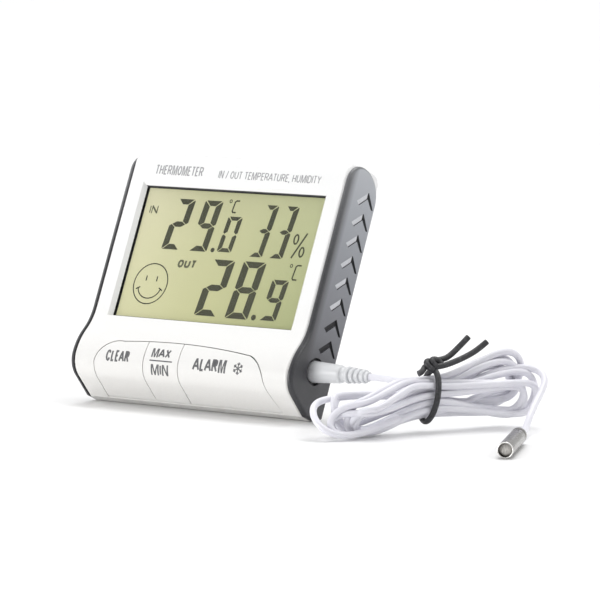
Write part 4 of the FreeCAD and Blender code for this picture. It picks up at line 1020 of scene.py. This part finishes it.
def tie_pieces():
    """One loop round the hank, a twisted knot on top, and two ends that stand up to the right."""
    high, deep = 9.0, 5.9
    loop = [(-1.2 + 1.9 * math.sin(math.radians(a)), deep * 1.16 * math.cos(math.radians(a)),
             0.5 + high * 1.1 * math.sin(math.radians(a))) for a in range(0, 360, 30)]
    band = tie_curve("tie_loop", loop, closed=True)
    knot = tie_curve("tie_knot", [(-6.6, -1.4, high + 0.2), (-4.6, -1.6, high + 0.9), (-3.2, 0.6, high + 2.6),
                                  (-0.6, 1.9, high + 2.2), (0.6, -0.6, high + 0.6), (-1.4, -2.2, high + 1.8),
                                  (-3.4, -0.8, high + 3.9), (-0.8, 1.6, high + 4.8), (1.8, 0.6, high + 3.0),
                                  (0.8, -1.8, high + 2.4), (-1.0, -0.6, high + 4.6), (1.4, 1.2, high + 5.4),
                                  (3.4, 0.2, high + 4.2), (3.6, -1.4, high + 2.6)])
    back = tie_curve("tie_end_back", [(0.0, 1.0, high + 4.2), (3.0, 1.6, high + 4.6), (6.6, 1.4, high + 4.4),
                                      (10.0, 1.6, high + 7.0), (16.4, 2.0, high + 12.4)])
    front = tie_curve("tie_end_front", [(0.0, -1.0, high + 2.2), (4.0, -1.6, high + 2.6),
                                        (8.0, -1.2, high + 3.6), (13.5, -1.2, high + 5.4),
                                        (18.5, -1.0, high + 7.6), (22.6, -1.0, high + 10.6)])
    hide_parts("twist_tie")
    return [band, knot, back, front]


def sensor_cord():
    pieces = plug_pieces() + probe_pieces() + tie_pieces()
    route = LEAD_POINTS_MM + hank_route() + TAIL_POINTS_MM
    cord = cord_curve("sensor_cord", route, CORD_DIAMETER / 2)
    cord.data.materials.append(CORD)
    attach(cord, "sensor_lead")
    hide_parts("cord_lead", "cord_hank", "cord_tail")


# -------- floor and light
def add_area(name, place, aim, size, power):
    light = bpy.data.lights.new(name, "AREA")
    light.energy = power
    light.size = size
    lamp = add_object(name, light)
    lamp.location = place
    lamp.rotation_mode = "QUATERNION"
    lamp.rotation_quaternion = (Vector(aim) - Vector(place)).to_track_quat("-Z", "Y")


def add_floor():
    bm = bmesh.new()
    bmesh.ops.create_grid(bm, x_segments=1, y_segments=1, size=12.0)
    mesh = bpy.data.meshes.new("floor")
    bm.to_mesh(mesh)
    bm.free()
    floor = add_object("floor", mesh)
    floor.location.z = -0.0002
    paint = Paint("floor_white", (0.93, 0.93, 0.93), 0.45)
    cloud = paint.spread(paint.noise(3.0), 0, 1, 0.3, 0.7)
    paint.colour(paint.blend(cloud, (0.94, 0.94, 0.94), (0.92, 0.92, 0.92)))
    floor.data.materials.append(paint.material)


def add_room():
    """A room that is white all round and dimmer on the side the object faces, which shapes glossy pieces."""
    world = bpy.data.worlds.new("studio")
    bpy.context.scene.world = world
    world.use_nodes = True
    tree = world.node_tree
    sky = tree.nodes["Background"]
    sky.inputs["Strength"].default_value = 0.86
    heading = tree.nodes.new("ShaderNodeVectorMath")
    heading.operation = "DOT_PRODUCT"
    heading.inputs[1].default_value = (0.55, -0.8, 0.1)
    tree.links.new(tree.nodes.new("ShaderNodeTexCoord").outputs["Generated"], heading.inputs[0])
    ramp = tree.nodes.new("ShaderNodeMapRange")
    for socket, number in (("From Min", 0.3), ("From Max", 0.85), ("To Min", 1.0), ("To Max", 0.15)):
        ramp.inputs[socket].default_value = number
    tree.links.new(heading.outputs["Value"], ramp.inputs["Value"])
    tree.links.new(ramp.outputs["Result"], sky.inputs["Color"])


def add_sun(direction, energy, angle):
    sun = bpy.data.lights.new("soft_sun", "SUN")
    sun.energy = energy
    sun.angle = math.radians(angle)
    lamp = add_object("soft_sun", sun)
    lamp.rotation_mode = "QUATERNION"
    lamp.rotation_quaternion = Vector(direction).to_track_quat("-Z", "Y")


def add_stage():
    add_floor()
    add_room()
    add_sun(direction=(0.08, -0.3, -1), energy=1.35, angle=36)
    add_area("front_light", place=(-0.35, -1.1, 0.22), aim=(0.0, 0.0, 0.05), size=0.5, power=6.8)
    add_area("side_light", place=(1.3, 0.3, 0.9), aim=(0.05, 0.0, 0.04), size=0.5, power=4)
    bpy.context.scene.view_settings.view_transform = "Standard"


# -------- make everything
sensor_cord()
paint_nodes()
display_surround()
jack_seat()
display_contents()
lettering()
arrow_inlays()
add_stage()
